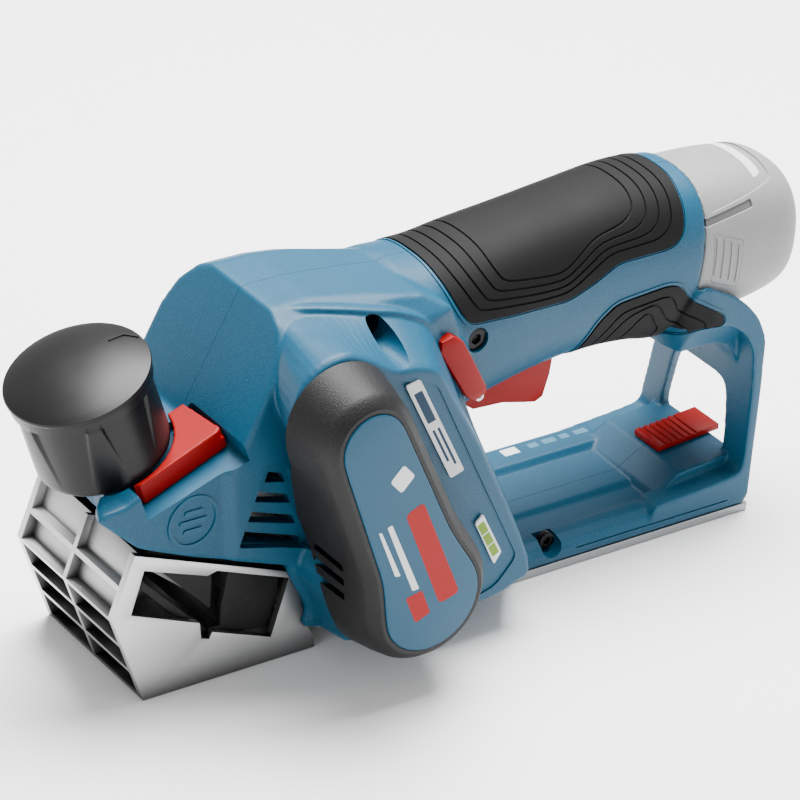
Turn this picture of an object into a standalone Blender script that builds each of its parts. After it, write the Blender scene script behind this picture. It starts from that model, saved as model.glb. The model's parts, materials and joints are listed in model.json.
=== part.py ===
"""Cordless electric hand planer, modelled as the pieces it comes apart into.

Working coordinates are millimetres: x runs from the front edge of the front shoe
(x = 0) to the rear, y from the belt side (-) to the far side (+), z up from the sole.
The finished objects are in metres, with the origin under the middle of the rear sole.
"""
import math

import bmesh
import bpy
from mathutils import Matrix, Vector

MM = 0.001
GAP = 0.3

# Sole and shoe
SOLE_HALF = 28.5
SOLE_FRONT = 93.0
SOLE_REAR = 242.0
SOLE_THICK = 3.0
SOLE_MID = (SOLE_FRONT + SOLE_REAR) / 2
PLATE_THICK = 2.5
SHOE_REAR = 64.0

# Cutter and drive
DRUM_X = 79.0
DRUM_Z = 26.2
DRUM_R = 24.6
CUT_R = 26.0
SHOE_CLEAR = 2.4
DRUM_LEFT = -25.6
DRUM_RIGHT = 28.0
MOTOR_X = 57.0
MOTOR_Z = 96.0
STATOR_R = 15.5
SHAFT_R = 3.0
DRUM_PULLEY_R = 7.5
MOTOR_PULLEY_R = 5.2
BELT_THICK = 1.5
BELT_Y = (-63.0, -55.0)

# Depth knob: its axis leans forward
TILT = math.radians(20.0)
KNOB_FOOT = (0.0, 0.0, 75.0)
KNOB_R = 23.4
KNOB_FOOT_R = 21.5
KNOB_HEIGHT = 33.0
SPINDLE_R = 4.0

# Body
CORE_NEAR = -33.0
CORE_FAR = 31.0
SLAB_Y = -50.0
COVER_CREASE_Y = -66.0
COVER_FACE_Y = -69.4
PANEL_Y = -70.0
WALL = 2.8
LOWER_LOBE = (78.0, 36.0, 22.5)
UPPER_LOBE = (51.0, 99.0, 16.0)
COLLAR_X = 212.5
TRAY_Z = 11.5
SLOT_HIGH = 3.2
CATCH_FLOOR = -5.7
SILL_SLOPE = 2.0 / 26.0

FORWARD = Vector((math.cos(TILT), 0.0, math.sin(TILT)))
KNOB_AXIS = Vector((-math.sin(TILT), 0.0, math.cos(TILT)))
SIDEWAYS = Vector((0.0, 1.0, 0.0))


# ---------------------------------------------------------------- building blocks

def clear_scene():
    for item in list(bpy.data.objects):
        bpy.data.objects.remove(item)


def world(point):
    x, y, z = point
    return Vector(((x - SOLE_MID) * MM, y * MM, z * MM))


def solid(points, faces):
    """A closed body from points in millimetres and faces."""
    mesh = bpy.data.meshes.new("solid")
    mesh.from_pydata([world(p) for p in points], [], faces)
    work = bmesh.new()
    work.from_mesh(mesh)
    bmesh.ops.triangulate(work, faces=work.faces)
    bmesh.ops.recalc_face_normals(work, faces=work.faces)
    work.to_mesh(mesh)
    work.free()
    item = bpy.data.objects.new("solid", mesh)
    bpy.context.scene.collection.objects.link(item)
    return item


def loft(rings):
    """A skin through rings of equal length, closed by a face at each end."""
    count = len(rings[0])
    points = [p for ring in rings for p in ring]
    faces = [tuple(range(count)), tuple(range(len(points) - count, len(points)))]
    for level in range(len(rings) - 1):
        low = level * count
        for i in range(count):
            j = (i + 1) % count
            faces.append((low + i, low + j, low + count + j, low + count + i))
    return solid(points, faces)


def prism(outline, low, high, plane="XZ"):
    """An outline swept along the axis its plane leaves out."""
    def at(pair, depth):
        a, b = pair
        return {"XZ": (a, depth, b), "YZ": (depth, a, b), "XY": (a, b, depth)}[plane]
    return loft([[at(p, low) for p in outline], [at(p, high) for p in outline]])


def box(low, high):
    outline = [(low[0], low[2]), (high[0], low[2]), (high[0], high[2]), (low[0], high[2])]
    return prism(outline, low[1], high[1])


def frame_of(axis):
    axis = Vector(axis).normalized()
    side = Vector((0, 0, 1)) if abs(axis.y) > 0.9 else SIDEWAYS
    first = (side - axis * side.dot(axis)).normalized()
    return axis, first, axis.cross(first)


def turned(profile, start, axis, steps=32):
    """A solid of revolution: (distance along the axis, radius) from end to end."""
    axis, first, second = frame_of(axis)
    start = Vector(start)
    rings = []
    for along, radius in profile:
        ring = []
        for i in range(steps):
            angle = 2 * math.pi * i / steps
            ring.append(start + axis * along + first * (radius * math.cos(angle))
                        + second * (radius * math.sin(angle)))
        rings.append(ring)
    return loft(rings)


def rod(start, axis, length, radius, steps=24):
    return turned([(0, radius), (length, radius)], start, axis, steps)


def across(x, z, near, far, radius, steps=20):
    """A round bar that runs across the planer."""
    return rod((x, near, z), (0, 1, 0), far - near, radius, steps)


def combine(target, tool, operation):
    change = target.modifiers.new("combine", "BOOLEAN")
    change.operation = operation
    change.solver = "EXACT"
    change.object = tool
    graph = bpy.context.evaluated_depsgraph_get()
    mesh = bpy.data.meshes.new_from_object(target.evaluated_get(graph))
    target.modifiers.clear()
    target.data = mesh
    bpy.data.objects.remove(tool)
    return target


def cut(target, *tools):
    for tool in tools:
        combine(target, tool, "DIFFERENCE")
    return target


def fuse(target, *tools):
    for tool in tools:
        combine(target, tool, "UNION")
    return target


def overlap(target, tool):
    return combine(target, tool, "INTERSECT")


def ring_bar(x, z, near, far, outer, inner, steps=28):
    """A round bush with its axis across the planer."""
    return cut(across(x, z, near, far, outer, steps),
               across(x, z, near - 1, far + 1, inner, steps))


def arc(centre_x, centre_z, radius, first, last, steps):
    """Points on an arc, angles in degrees."""
    points = []
    for i in range(steps + 1):
        angle = math.radians(first + (last - first) * i / steps)
        points.append((centre_x + radius * math.cos(angle),
                       centre_z + radius * math.sin(angle)))
    return points


def oval(x, centre_z, half_wide, half_high, lean=0.0, squareness=2.5, steps=24):
    """A handle section: a rounded oval in a plane across x, leaning with height."""
    ring = []
    for i in range(steps):
        angle = 2 * math.pi * i / steps
        wide = abs(math.cos(angle)) ** (2 / squareness) * half_wide
        high = abs(math.sin(angle)) ** (2 / squareness) * half_high
        y = math.copysign(wide, math.cos(angle))
        rise = math.copysign(high, math.sin(angle))
        ring.append((x + lean * rise, y, centre_z + rise))
    return ring


def tilted(outline, low, high):
    """An outline in the knob's own plane, swept along the knob's axis from its foot."""
    foot = Vector(KNOB_FOOT)
    return loft([[foot + FORWARD * a + SIDEWAYS * b + KNOB_AXIS * h for a, b in outline]
                 for h in (low, high)])


def finish(item, name, colour, roughness, metallic=0.0, pivot=None):
    """Name a sub-part, give it its material and put its origin on its pivot."""
    item.name = name
    item.data.name = name
    material = bpy.data.materials.new(name)
    material.use_nodes = True
    shader = material.node_tree.nodes["Principled BSDF"]
    shader.inputs["Base Color"].default_value = (*colour, 1.0)
    shader.inputs["Roughness"].default_value = roughness
    shader.inputs["Metallic"].default_value = metallic
    material.diffuse_color = (*colour, 1.0)
    item.data.materials.clear()
    item.data.materials.append(material)
    if pivot is not None:
        place = world(pivot)
        item.data.transform(Matrix.Translation(-place))
        item.location = place
    item.data.shade_smooth()
    item.data.set_sharp_from_angle(angle=math.radians(30))
    return item


BLUE = (0.035, 0.17, 0.33)
BLACK = (0.018, 0.018, 0.019)
RED = (0.62, 0.02, 0.015)
GREY = (0.50, 0.51, 0.52)
ALUMINIUM = (0.72, 0.72, 0.71)
STEEL = (0.56, 0.56, 0.57)


# ---------------------------------------------------------------- housing

def lobed_outline(grow):
    """The belt cover's outline: two lobes joined by a waist, grown outwards."""
    x1, z1, r1 = LOWER_LOBE
    x2, z2, r2 = UPPER_LOBE
    return (arc(x1, z1, r1 + grow, 200, 388, 13)
            + [(87.0 + 0.9 * grow, 62.5 + 0.4 * grow)]
            + arc(x2, z2, r2 + grow, 25, 200, 11)
            + [(54.3 - grow, 47.0)])


def front_lip():
    """The tilted cradle that carries the knob, over the shoe."""
    side = [(-20.8, 74.6), (-13.3, 79.1), (27.0, 81.0), (60.0, 81.0), (60.0, 33.0),
            (50.4, 35.8), (13.8, 49.4), (-1.4, 56.0), (-5.6, 58.1)]
    plan = [(-21.0, -SOLE_HALF - 2), (-17.0, -24.0), (-9.0, -13.0), (-9.0, 13.0),
            (-17.0, 24.0), (-21.0, SOLE_HALF + 1.5), (60.0, SOLE_HALF + 1.5),
            (60.0, -SOLE_HALF - 2)]
    return overlap(prism(side, -SOLE_HALF - 2, SOLE_HALF + 1.5), prism(plan, 20, 90, "XY"))


def head_core():
    """The motor and drum housing between the two side faces."""
    side = [(24.5, 76.5), (27.2, 81.8), (47.0, 121.0), (62.0, 120.8), (83.0, 119.0),
            (99.0, 118.0), (105.5, 113.5), (114.5, 99.0), (126.0, 95.0), (126.0, 66.0),
            (119.0, 60.0), (135.0, 26.0), (150.0, 12.5), (150.0, 3.3), (63.5, 3.3),
            (60.5, 18.0), (55.5, 34.5), (28.0, 45.0)]
    section = [(CORE_NEAR, 0.0), (CORE_NEAR, 104.0), (-30.0, 111.5), (-24.0, 117.5),
               (-16.0, 121.0), (16.0, 121.0), (23.0, 117.5), (28.5, 111.0),
               (CORE_FAR, 103.0), (CORE_FAR, 0.0)]
    plan = [(0, CORE_NEAR - 1), (86, CORE_NEAR), (112, -28.7), (160, -28.7), (160, 28.7),
            (112, 28.7), (86, CORE_FAR), (0, CORE_FAR + 1)]
    core = overlap(prism(side, -40, 40), prism(section, 10, 160, "YZ"))
    overlap(core, prism(plan, -5, 140, "XY"))
    low_sides = box((40, -45, -5), (170, -SOLE_HALF - 1.0, 13.5))
    low_far = box((40, SOLE_HALF + 1.0, -5), (170, 45, 13.5))
    return cut(core, low_sides, low_far)


def belt_slab():
    """The thick slab on the belt side that the belt cover is screwed to."""
    inner = [(54, 50), (49, 78), (41, 98), (41.5, 109), (47, 117.5), (57, 120), (68, 119.5),
             (77, 118.5), (88, 116), (99, 109), (109, 91), (120, 66), (141, 24), (143, 8),
             (118, 6.5), (64.5, 8.5), (60.2, 17.9), (51.5, 36)]
    outer = [(59, 50), (48, 78), (36.5, 95), (37.5, 108), (43.5, 116.5), (53, 119), (62, 115.5),
             (72, 109.5), (81, 108), (89, 104), (96.1, 92.1), (109.1, 69.8), (130.9, 25),
             (126, 17), (111, 14), (66, 14), (61, 21), (56.5, 35)]
    return loft([[(x, -SOLE_HALF - 0.5, z) for x, z in inner],
                 [(x, -SOLE_HALF - 2.0, z) for x, z in inner],
                 [(x, SLAB_Y, z) for x, z in outer]])


def grip_stations():
    """Handle sections from the head to the battery collar: x, bottom, top, half width."""
    return [(100, 60, 118, 27.5), (118, 61.5, 118.3, 26), (134, 65.2, 120.6, 25),
            (153, 68.8, 122.8, 24), (174, 70.8, 125.2, 24), (192, 69.6, 127.2, 24.5),
            (203, 67.8, 127, 25), (COLLAR_X, 69, 126, 25)]


def grip_tube(inset, reach=0.0):
    """The handle as a loft; inset gives its inner surface, reach runs it past the collar."""
    stations = grip_stations()
    rings = []
    for i, (x, low, high, half) in enumerate(stations):
        end = i == len(stations) - 1
        rings.append(oval(x + (reach if end else 0), (low + high) / 2, half - inset,
                          (high - low) / 2 - inset, lean=0.09 if end else 0.0))
    return loft(rings)


def sill_z(x):
    """Height of the sloping face that the red slider runs on."""
    return 17.7 + (x - 218.5) * SILL_SLOPE


def rear_arch():
    """The loop behind the hand: two legs, a top bar that cradles the battery, and a sill."""
    outer = [(-SOLE_HALF, 4), (SOLE_HALF, 4), (SOLE_HALF, 56), (27.6, 70), (26.6, 95),
             (-26.6, 95), (-27.6, 70), (-SOLE_HALF, 56)]
    opening = [(-16.0, 10.0), (16.0, 10.0), (18.5, 24), (19.5, 40), (16, 46.5),
               (-16, 46.5), (-19.5, 40), (-18.5, 24)]
    loop = prism(outer, 195, SOLE_REAR, "YZ")
    cut(loop, prism(opening, 190, SOLE_REAR + 5, "YZ"))
    side = [(209.2, 63), (209.2, 89), (213, 93), (222, 88.5), (232.5, 82), (238.5, 75.5),
            (SOLE_REAR, 66), (SOLE_REAR, 3.3), (203, 3.3), (203, 12.8), (225, 14.2), (237.4, 16),
            (234.2, 29.4), (231.5, 44), (229.8, 52), (226, 55.5), (214, 58)]
    overlap(loop, prism(side, -40, 40))
    inside = [(190, 6), (238.5, 6), (238.5, 52), (235, 57), (228, 60), (190, 62)]
    cut(loop, prism(inside, -19.5, 19.5))
    rear = SOLE_REAR - 0.6
    ramp = prism([(206, 6), (209, TRAY_Z + 0.6), (217.5, sill_z(217.5)), (rear, sill_z(rear)),
                  (rear, 6)], -20.5, 20.5)
    fuse(loop, ramp)
    return cut(loop, loft([oval(COLLAR_X - 4, 97.5, 25.1, 28.6, lean=0.09),
                           oval(262, 97.8, 25.1, 28.6)]))


def base_tray():
    """The low tray between the head and the arch."""
    section = [(-SOLE_HALF, 3.3), (SOLE_HALF, 3.3), (SOLE_HALF, 13.4), (25.5, 13.6),
               (17.5, TRAY_Z), (-8.0, TRAY_Z), (-17.0, 13.2), (-23.0, 13.0), (-27.2, 10.4),
               (-SOLE_HALF, 7.0)]
    return prism(section, 110, SOLE_REAR - 2.0, "YZ")


def inner_space():
    """Everything hollow inside the two housing halves."""
    head = prism([(31.5, 80), (49.0, 117.6), (62, 117.4), (83, 115.8), (94, 114.0), (99, 108),
                  (101, 98), (104, 90), (108, 64), (115, 58), (128, 28), (128, 16), (60, 16),
                  (57.5, 34), (31.5, 46)], -26.0, 26.0)
    shoulder = prism([(-26.0, 0), (-26.0, 104), (-21, 113.5), (-15, 117.9), (15, 117.9),
                      (21, 113.5), (26.0, 104), (26.0, 0)], 10, 160, "YZ")
    overlap(head, shoulder)
    slab = prism([(62, 52), (52, 78), (44, 98), (46, 110), (54, 113), (66, 108), (84, 100),
                  (94, 86), (105, 68), (124, 28), (118, 18), (66, 18), (63, 24)],
                 SLAB_Y + 3.0, -20)
    grip = grip_tube(WALL, 6)
    return fuse(head, slab, grip)


def drum_bay():
    """Round clearance over the drum, with the mouth in the sole."""
    bay = across(DRUM_X, DRUM_Z, DRUM_LEFT - 0.9, DRUM_RIGHT + 0.5, CUT_R + 1.6, 40)
    mouth = box((SHOE_REAR - 6, -SOLE_HALF - 4, -2), (SOLE_FRONT - 0.5, SOLE_HALF + 4, 9))
    return fuse(bay, mouth)


def chip_way():
    """The channel from the drum forward to the chute."""
    return prism([(30, 36), (62, 18), (62, 40), (30, 52)], -24, 24)


def vent_slots(near, far):
    """Cooling slots that widen downwards."""
    slots = []
    for row in range(4):
        z = 74.0 - 6.25 * row
        left = 38.1 - 2.8 * row
        right = 44.3 + 3.1 * row
        drop = 0.36 * (right - left)
        slots.append(prism([(left, z), (right, z - drop), (right, z - drop - SLOT_HIGH),
                            (left, z - SLOT_HIGH)], near, far))
    return slots


def knob_recess():
    """Room for the knob, its spindle and the lock catch."""
    bowl = tilted(arc(0, 0, 26.0, 0, 348, 29), -1.2, 60)
    catch_room = tilted([(-5.3, -32), (31.7, -32), (31.7, -2), (-5.3, -2)], CATCH_FLOOR, 9.5)
    spindle = tilted(arc(0, 0, SPINDLE_R + 0.5, 0, 345, 23), -40, 1)
    pins = [tilted(arc(0, side, 2.9, 0, 330, 11), -40, -8) for side in (-18, 18)]
    return [spindle, *pins, bowl, catch_room]


def housing_block():
    """Both halves of the housing as one block, before they are split."""
    block = fuse(head_core(), front_lip(), belt_slab(), grip_tube(0), base_tray(), rear_arch())
    cut(block, inner_space(), drum_bay(), chip_way(), *knob_recess())
    cut(block, *vent_slots(-45, -20))
    cut(block, *vent_slots(20, 45))
    cut(block, cover_outside(GAP))
    fuse(block, across(DRUM_X, DRUM_Z, 22.6, 29.5, SHAFT_R + 1.0))
    cut(block,
        across(DRUM_X, DRUM_Z, -60, -20, 8.2),
        across(MOTOR_X, MOTOR_Z, -60, -40, 6.2),
        across(76.0, 113.5, -60, -24, 4.6),
        across(121.5, 95.5, -40, -21.8, 4.2),
        across(158.9, 9.6, -40, -22, 3.2),
        across(133.5, 66, -13.5, 13.5, 1.8),
        prism([(127, 58), (172, 58), (172, 84), (127, 84)], -8.6, 8.6),
        prism(lock_off_outline(0.4), -40, -18.6))
    return block


def housing_halves():
    for name, low, high in (("left_housing", -90, -GAP / 2), ("right_housing", GAP / 2, 90)):
        half = overlap(housing_block(), box((-60, low, -5), (300, high, 150)))
        finish(half, name, BLUE, 0.42)


# ---------------------------------------------------------------- covers and grips

def cover_ring(grow_top, grow_front, depth, front_depth):
    """One ring of the belt cover; its front stretch can lie at another depth."""
    ring = []
    outline_top = lobed_outline(grow_top)
    outline_front = lobed_outline(grow_front)
    for (x1, z1), (x2, z2) in zip(outline_top, outline_front):
        share = max(0.0, min(1.0, (70.0 - x1) / 20.0)) * max(0.0, 1 - abs(z1 - 56.0) / 30.0)
        share = share ** 0.7
        ring.append((x1 + (x2 - x1) * share, depth + (front_depth - depth) * share,
                     z1 + (z2 - z1) * share))
    return ring


def cover_outside(clear=0.0):
    """The belt cover's outer body; clear makes the housing's seat for it."""
    seat = SLAB_Y - GAP + 1.1 * clear
    front_seat = CORE_NEAR - GAP + 1.1 * clear
    return loft([cover_ring(3.6 + clear, 0.5 + clear, seat, front_seat),
                 cover_ring(2.0 + clear, 0.5 + clear, -59.0, -58.0),
                 cover_ring(clear, clear, COVER_CREASE_Y, COVER_CREASE_Y),
                 cover_ring(clear - 3.0, clear - 3.0, COVER_FACE_Y, COVER_FACE_Y)])


def belt_cover():
    outside = cover_outside()
    inside = loft([[(x, -20.0, z) for x, z in lobed_outline(-2.4)],
                   [(x, -63.7, z) for x, z in lobed_outline(-2.4)],
                   [(x, -66.9, z) for x, z in lobed_outline(-5.4)]])
    cut(outside, inside)
    panel_seat = prism(lobed_outline(-4.5), COVER_FACE_Y - 2, COVER_FACE_Y + 0.9)
    cut(outside, panel_seat)
    for row in range(3):
        z = 45.0 - 5.2 * row
        cut(outside, prism([(40, z + 8.6), (64, z), (64, z - 2.2), (40, z + 6.4)], -56, -40))
    finish(outside, "belt_cover", BLACK, 0.6)
    panel = prism(lobed_outline(-4.8), PANEL_Y, COVER_FACE_Y + 0.6)
    finish(panel, "cover_face_panel", BLUE, 0.45)


def sleeve(name, x_low, x_high, side_outline):
    """A soft grip: a skin on the handle, trimmed by an outline seen from the side."""
    skin = grip_tube(-0.9)
    cut(skin, grip_tube(-GAP, 4), box((0, -60, 0), (x_low, 60, 200)))
    cut(skin, box((x_high, -60, 0), (300, 60, 200)))
    overlap(skin, prism(side_outline, -60, 60))
    return finish(skin, name, BLACK, 0.8)


def grips():
    sleeve("upper_grip", 108, 210,
           [(111, 140), (111.3, 117.5), (114.3, 108.5), (119, 101.9), (136.4, 100.8),
            (157.9, 100.2), (167.6, 103.7), (177.8, 108.7), (198.9, 109.4), (203.5, 112.5),
            (205.3, 118.7), (208, 140)])
    sleeve("lower_grip", 162, 210,
           [(168, 60), (168.8, 79.8), (172.2, 87.9), (178.3, 93.2), (199.3, 95.5),
            (204.4, 93.7), (207.9, 88.3), (208.6, 84), (204.5, 79), (197.5, 66), (197, 60)])


# ---------------------------------------------------------------- shoe and sole

def shoe_window():
    return [(-2.0, 48.2), (21.5, 39.4), (25.0, 40.2), (52.5, 29.4), (47.0, 9.0), (24.5, 17.8),
            (23.5, 15.5), (20.5, 16.6), (19.6, 22.6), (-6.0, 33.2)]


def nut_arm():
    """The arm behind the shoe's web that the depth spindle screws into."""
    arm = prism([(-4, 47), (-1, 51.3), (10, 47.2), (27.5, 40.4), (28, 35.5), (17, 32.5),
                 (6, 41.5)], -21.5, 21.5)
    cut(arm, tilted(arc(0, 0, SPINDLE_R + 0.05, 0, 345, 23), -50, 0))
    for side in (-18, 18):
        cut(arm, tilted(arc(0, side, 2.55, 0, 330, 11), -50, 0))
    return arm


def front_shoe():
    side = [(0, 0), (SHOE_REAR, 0), (SHOE_REAR, 3.2), (60.5, 10), (57.5, 20), (53.5, 31.3),
            (-5.6, 54.6), (-12.8, 33.2)]
    shoe = prism(side, -SOLE_HALF, SOLE_HALF)
    web_back = [(10.6, 3.2), (-6.4, 33.6), (-0.8, 53), (-0.8, 62), (72, 62), (72, 3.2)]
    inner = SOLE_HALF - PLATE_THICK
    cut(shoe, prism(web_back, -inner, inner))
    levels = [1.8, 12.0, 22.5, 33.4, 43.5]
    for row, low in enumerate(levels):
        high = levels[row + 1] - 1.6 if row < 4 else 60.0
        for near, far in ((-inner, -0.9), (0.9, inner)):
            cut(shoe, prism([(-30, low), (web_front(low), low), (web_front(high), high),
                             (-30, high)], near, far))
    for near, far in ((-40, -20), (20, 40)):
        cut(shoe, prism(shoe_window(), near, far))
    fuse(shoe, nut_arm())
    cut(shoe, across(DRUM_X, DRUM_Z, DRUM_LEFT - 0.4, 40, CUT_R + SHOE_CLEAR, 48))
    return finish(shoe, "front_shoe", ALUMINIUM, 0.4, 0.9)


def web_front(z):
    """x of the shoe's back web at a height."""
    if z < 33.6:
        return 8.2 - (z - 3.2) * 17.0 / 30.4
    return -8.8 + (z - 33.6) * 0.29


def guide_pins():
    for name, side in (("guide_pin_left", -18), ("guide_pin_right", 18)):
        pin = tilted(arc(0, side, 2.5, 0, 330, 11), -38, -12)
        finish(pin, name, STEEL, 0.3, 1.0)


def shoe_seal():
    """The dark strip in the gap between the shoe's plates and the housing."""
    strip = [(1.0, 49.2), (51.5, 29.4), (51.5, 35.0), (13.7, 49.1), (1.0, 54.5)]
    for name, low, high in (("shoe_seal_left", -25.6, -24.2), ("shoe_seal_right", 24.2, 25.6)):
        finish(prism(strip, low, high), name, BLACK, 0.7)


def chip_chute():
    """The duct and sloping plate that turn the chips out of the shoe's windows."""
    duct = prism([(29.5, 13.5), (49.5, 10.5), (50.8, 29.0), (31.5, 36.0), (29.5, 24.0)],
                 -25.3, 25.3)
    cut(duct, prism([(20.0, 17.0), (60.0, 13.5), (60.0, 25.0), (20.0, 30.0)], -22.8, 22.8))
    plate = prism([(30.5, 13.6), (30.5, 16.8), (24.0, 17.6), (-0.5, 42.5), (-2.0, 40.5),
                   (22.0, 15.4)], -25.3, 25.3)
    fuse(duct, plate)
    return finish(duct, "chip_chute", BLACK, 0.55)


def rear_sole():
    side = [(SOLE_FRONT, 0), (SOLE_REAR, 0), (SOLE_REAR, SOLE_THICK), (SOLE_FRONT + 6, SOLE_THICK),
            (SOLE_FRONT + 1.5, 1.5)]
    sole = prism(side, -SOLE_HALF, SOLE_HALF)
    cut(sole, box((221.2, -12.4, -1), (250, 12.4, 5)))
    for x in (110, 205):
        for y in (-20, 20):
            cut(sole, turned([(-1, 3.6), (1.2, 3.6), (3, 2.0), (8, 2.0)], (x, y, 0), (0, 0, 1), 16))
    return finish(sole, "rear_sole", ALUMINIUM, 0.35, 0.9)


def sole_screws():
    number = 1
    for x in (110, 205):
        for y in (-20, 20):
            head = turned([(0.5, 3.3), (1.2, 3.3), (2.7, 1.8)], (x, y, 0), (0, 0, 1), 16)
            cut(head, prism([(y - 0.5, -1), (y + 0.5, -1), (y + 0.5, 1.3), (y - 0.5, 1.3)],
                            x - 1.8, x + 1.8, "YZ"))
            finish(head, f"sole_screw_{number}", STEEL, 0.35, 1.0)
            number += 1


# ---------------------------------------------------------------- depth setting

def depth_knob():
    h = KNOB_HEIGHT
    profile = [(0, KNOB_FOOT_R - 1), (1.2, KNOB_FOOT_R), (h - 3, KNOB_R - 0.6), (h - 2.4, KNOB_R),
               (h - 0.6, KNOB_R), (h, KNOB_R - 0.8), (h + 1.6, KNOB_R - 5), (h + 2.8, 10),
               (h + 3.2, 3)]
    knob = turned(profile, KNOB_FOOT, KNOB_AXIS, 36)
    for i in range(9):
        angle = 2 * math.pi * i / 9
        wide = math.radians(9)
        outline = [((KNOB_R + 2) * math.cos(angle - wide), (KNOB_R + 2) * math.sin(angle - wide)),
                   ((KNOB_R + 2) * math.cos(angle + wide), (KNOB_R + 2) * math.sin(angle + wide)),
                   ((KNOB_FOOT_R + 0.2) * math.cos(angle), (KNOB_FOOT_R + 0.2) * math.sin(angle))]
        cut(knob, tilted(outline, 6, h - 8))
    cut(knob, tilted(arc(0, 0, SPINDLE_R + 0.3, 0, 345, 23), -2, 12))
    return finish(knob, "depth_knob", BLACK, 0.35, pivot=KNOB_FOOT)


def depth_spindle():
    spindle = turned([(-40, SPINDLE_R - 0.7), (-39, SPINDLE_R - 0.05), (10.5, SPINDLE_R - 0.05)],
                     KNOB_FOOT, KNOB_AXIS, 24)
    return finish(spindle, "depth_spindle", STEEL, 0.3, 1.0, pivot=KNOB_FOOT)


def lock_catch():
    """The red catch in the corner behind the knob."""
    outline = [(28.5, -3.0), (30.3, -22.6), (-1.8, -24.6)] + arc(0, 0, 22.6, -98, -8, 10)
    low = CATCH_FLOOR + 0.4
    catch = tilted(outline, low, low + 7.4)
    slope = tilted([(3.7, -40), (43.7, -40), (43.7, -12)], low + 4.2, low + 13)
    cut(catch, slope)
    return finish(catch, "depth_lock_catch", RED, 0.3, pivot=KNOB_FOOT)


# ---------------------------------------------------------------- cutter and drive

def cutter_drum():
    drum = across(DRUM_X, DRUM_Z, DRUM_LEFT, DRUM_RIGHT, DRUM_R, 40)
    fuse(drum, across(DRUM_X, DRUM_Z, -64.5, -20, SHAFT_R + 1.0, 20))
    cut(drum, across(DRUM_X, DRUM_Z, 21.8, 40, 8.2, 28))
    cut(drum, box((DRUM_X - 2.6, -30, DRUM_Z - 30), (DRUM_X + 5.4, 30, DRUM_Z - 14)))
    return finish(drum, "cutter_drum", STEEL, 0.35, 1.0, pivot=(DRUM_X, 0, DRUM_Z))


def planer_blade():
    low = DRUM_Z - CUT_R
    blade = prism([(DRUM_X - 2.3, low + 11.5), (DRUM_X - 2.3, low), (DRUM_X - 1.2, low + 1.6),
                   (DRUM_X - 1.2, low + 11.5)], DRUM_LEFT, DRUM_RIGHT)
    finish(blade, "planer_blade", STEEL, 0.2, 1.0, pivot=(DRUM_X, 0, DRUM_Z))
    clamp = prism([(DRUM_X - 0.9, low + 11.5), (DRUM_X - 0.9, low + 3.2), (DRUM_X + 5.0, low + 2.6),
                   (DRUM_X + 5.0, low + 11.5)], DRUM_LEFT, DRUM_RIGHT)
    screws = (-16, 1.2, 18.4)
    for y in screws:
        cut(clamp, rod((DRUM_X + 2.1, y, low - 1), (0, 0, 1), 8, 2.7, 16))
    finish(clamp, "blade_clamp", STEEL, 0.4, 1.0, pivot=(DRUM_X, 0, DRUM_Z))
    for number, y in enumerate(screws, 1):
        screw = rod((DRUM_X + 2.1, y, low + 3.4), (0, 0, 1), 3.4, 2.4, 16)
        cut(screw, rod((DRUM_X + 2.1, y, low + 2), (0, 0, 1), 3.2, 1.2, 6))
        finish(screw, f"clamp_screw_{number}", STEEL, 0.3, 1.0, pivot=(DRUM_X, 0, DRUM_Z))


def pulleys():
    near, far = BELT_Y
    for name, x, z, radius, bore in (("drum_pulley", DRUM_X, DRUM_Z, DRUM_PULLEY_R, SHAFT_R + 1.3),
                                     ("motor_pulley", MOTOR_X, MOTOR_Z, MOTOR_PULLEY_R,
                                      SHAFT_R + 0.3)):
        wheel = ring_bar(x, z, near - 0.8, far + 0.8, radius, bore, 28)
        finish(wheel, name, STEEL, 0.4, 1.0, pivot=(x, 0, z))


def belt_path(grow):
    """The belt's loop round both pulleys."""
    rise = math.degrees(math.atan2(MOTOR_Z - DRUM_Z, MOTOR_X - DRUM_X))
    span = math.hypot(MOTOR_Z - DRUM_Z, MOTOR_X - DRUM_X)
    lean = math.degrees(math.acos((DRUM_PULLEY_R - MOTOR_PULLEY_R) / span))
    return (arc(DRUM_X, DRUM_Z, DRUM_PULLEY_R + grow, rise + lean, rise + 360 - lean, 16)
            + arc(MOTOR_X, MOTOR_Z, MOTOR_PULLEY_R + grow, rise - lean, rise + lean, 10))


def drive_belt():
    near, far = BELT_Y
    belt = prism(belt_path(GAP + BELT_THICK), near, far)
    cut(belt, prism(belt_path(GAP), near - 1, far + 1))
    return finish(belt, "drive_belt", BLACK, 0.7)


def bearings():
    bushes = (("drum_bearing_left", DRUM_X, DRUM_Z, -49.4, -44.4, 7.9, SHAFT_R + 1.05),
              ("drum_bearing_right", DRUM_X, DRUM_Z, 22.8, 27.6, 7.9, SHAFT_R + 1.05),
              ("motor_bearing_left", MOTOR_X, MOTOR_Z, -50.0, -45.6, 5.9, SHAFT_R + 0.05),
              ("motor_bearing_right", MOTOR_X, MOTOR_Z, 18.6, 22.6, 6.5, SHAFT_R + 0.05))
    for name, x, z, near, far, outer, inner in bushes:
        finish(ring_bar(x, z, near, far, outer, inner), name, STEEL, 0.25, 1.0)


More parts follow.
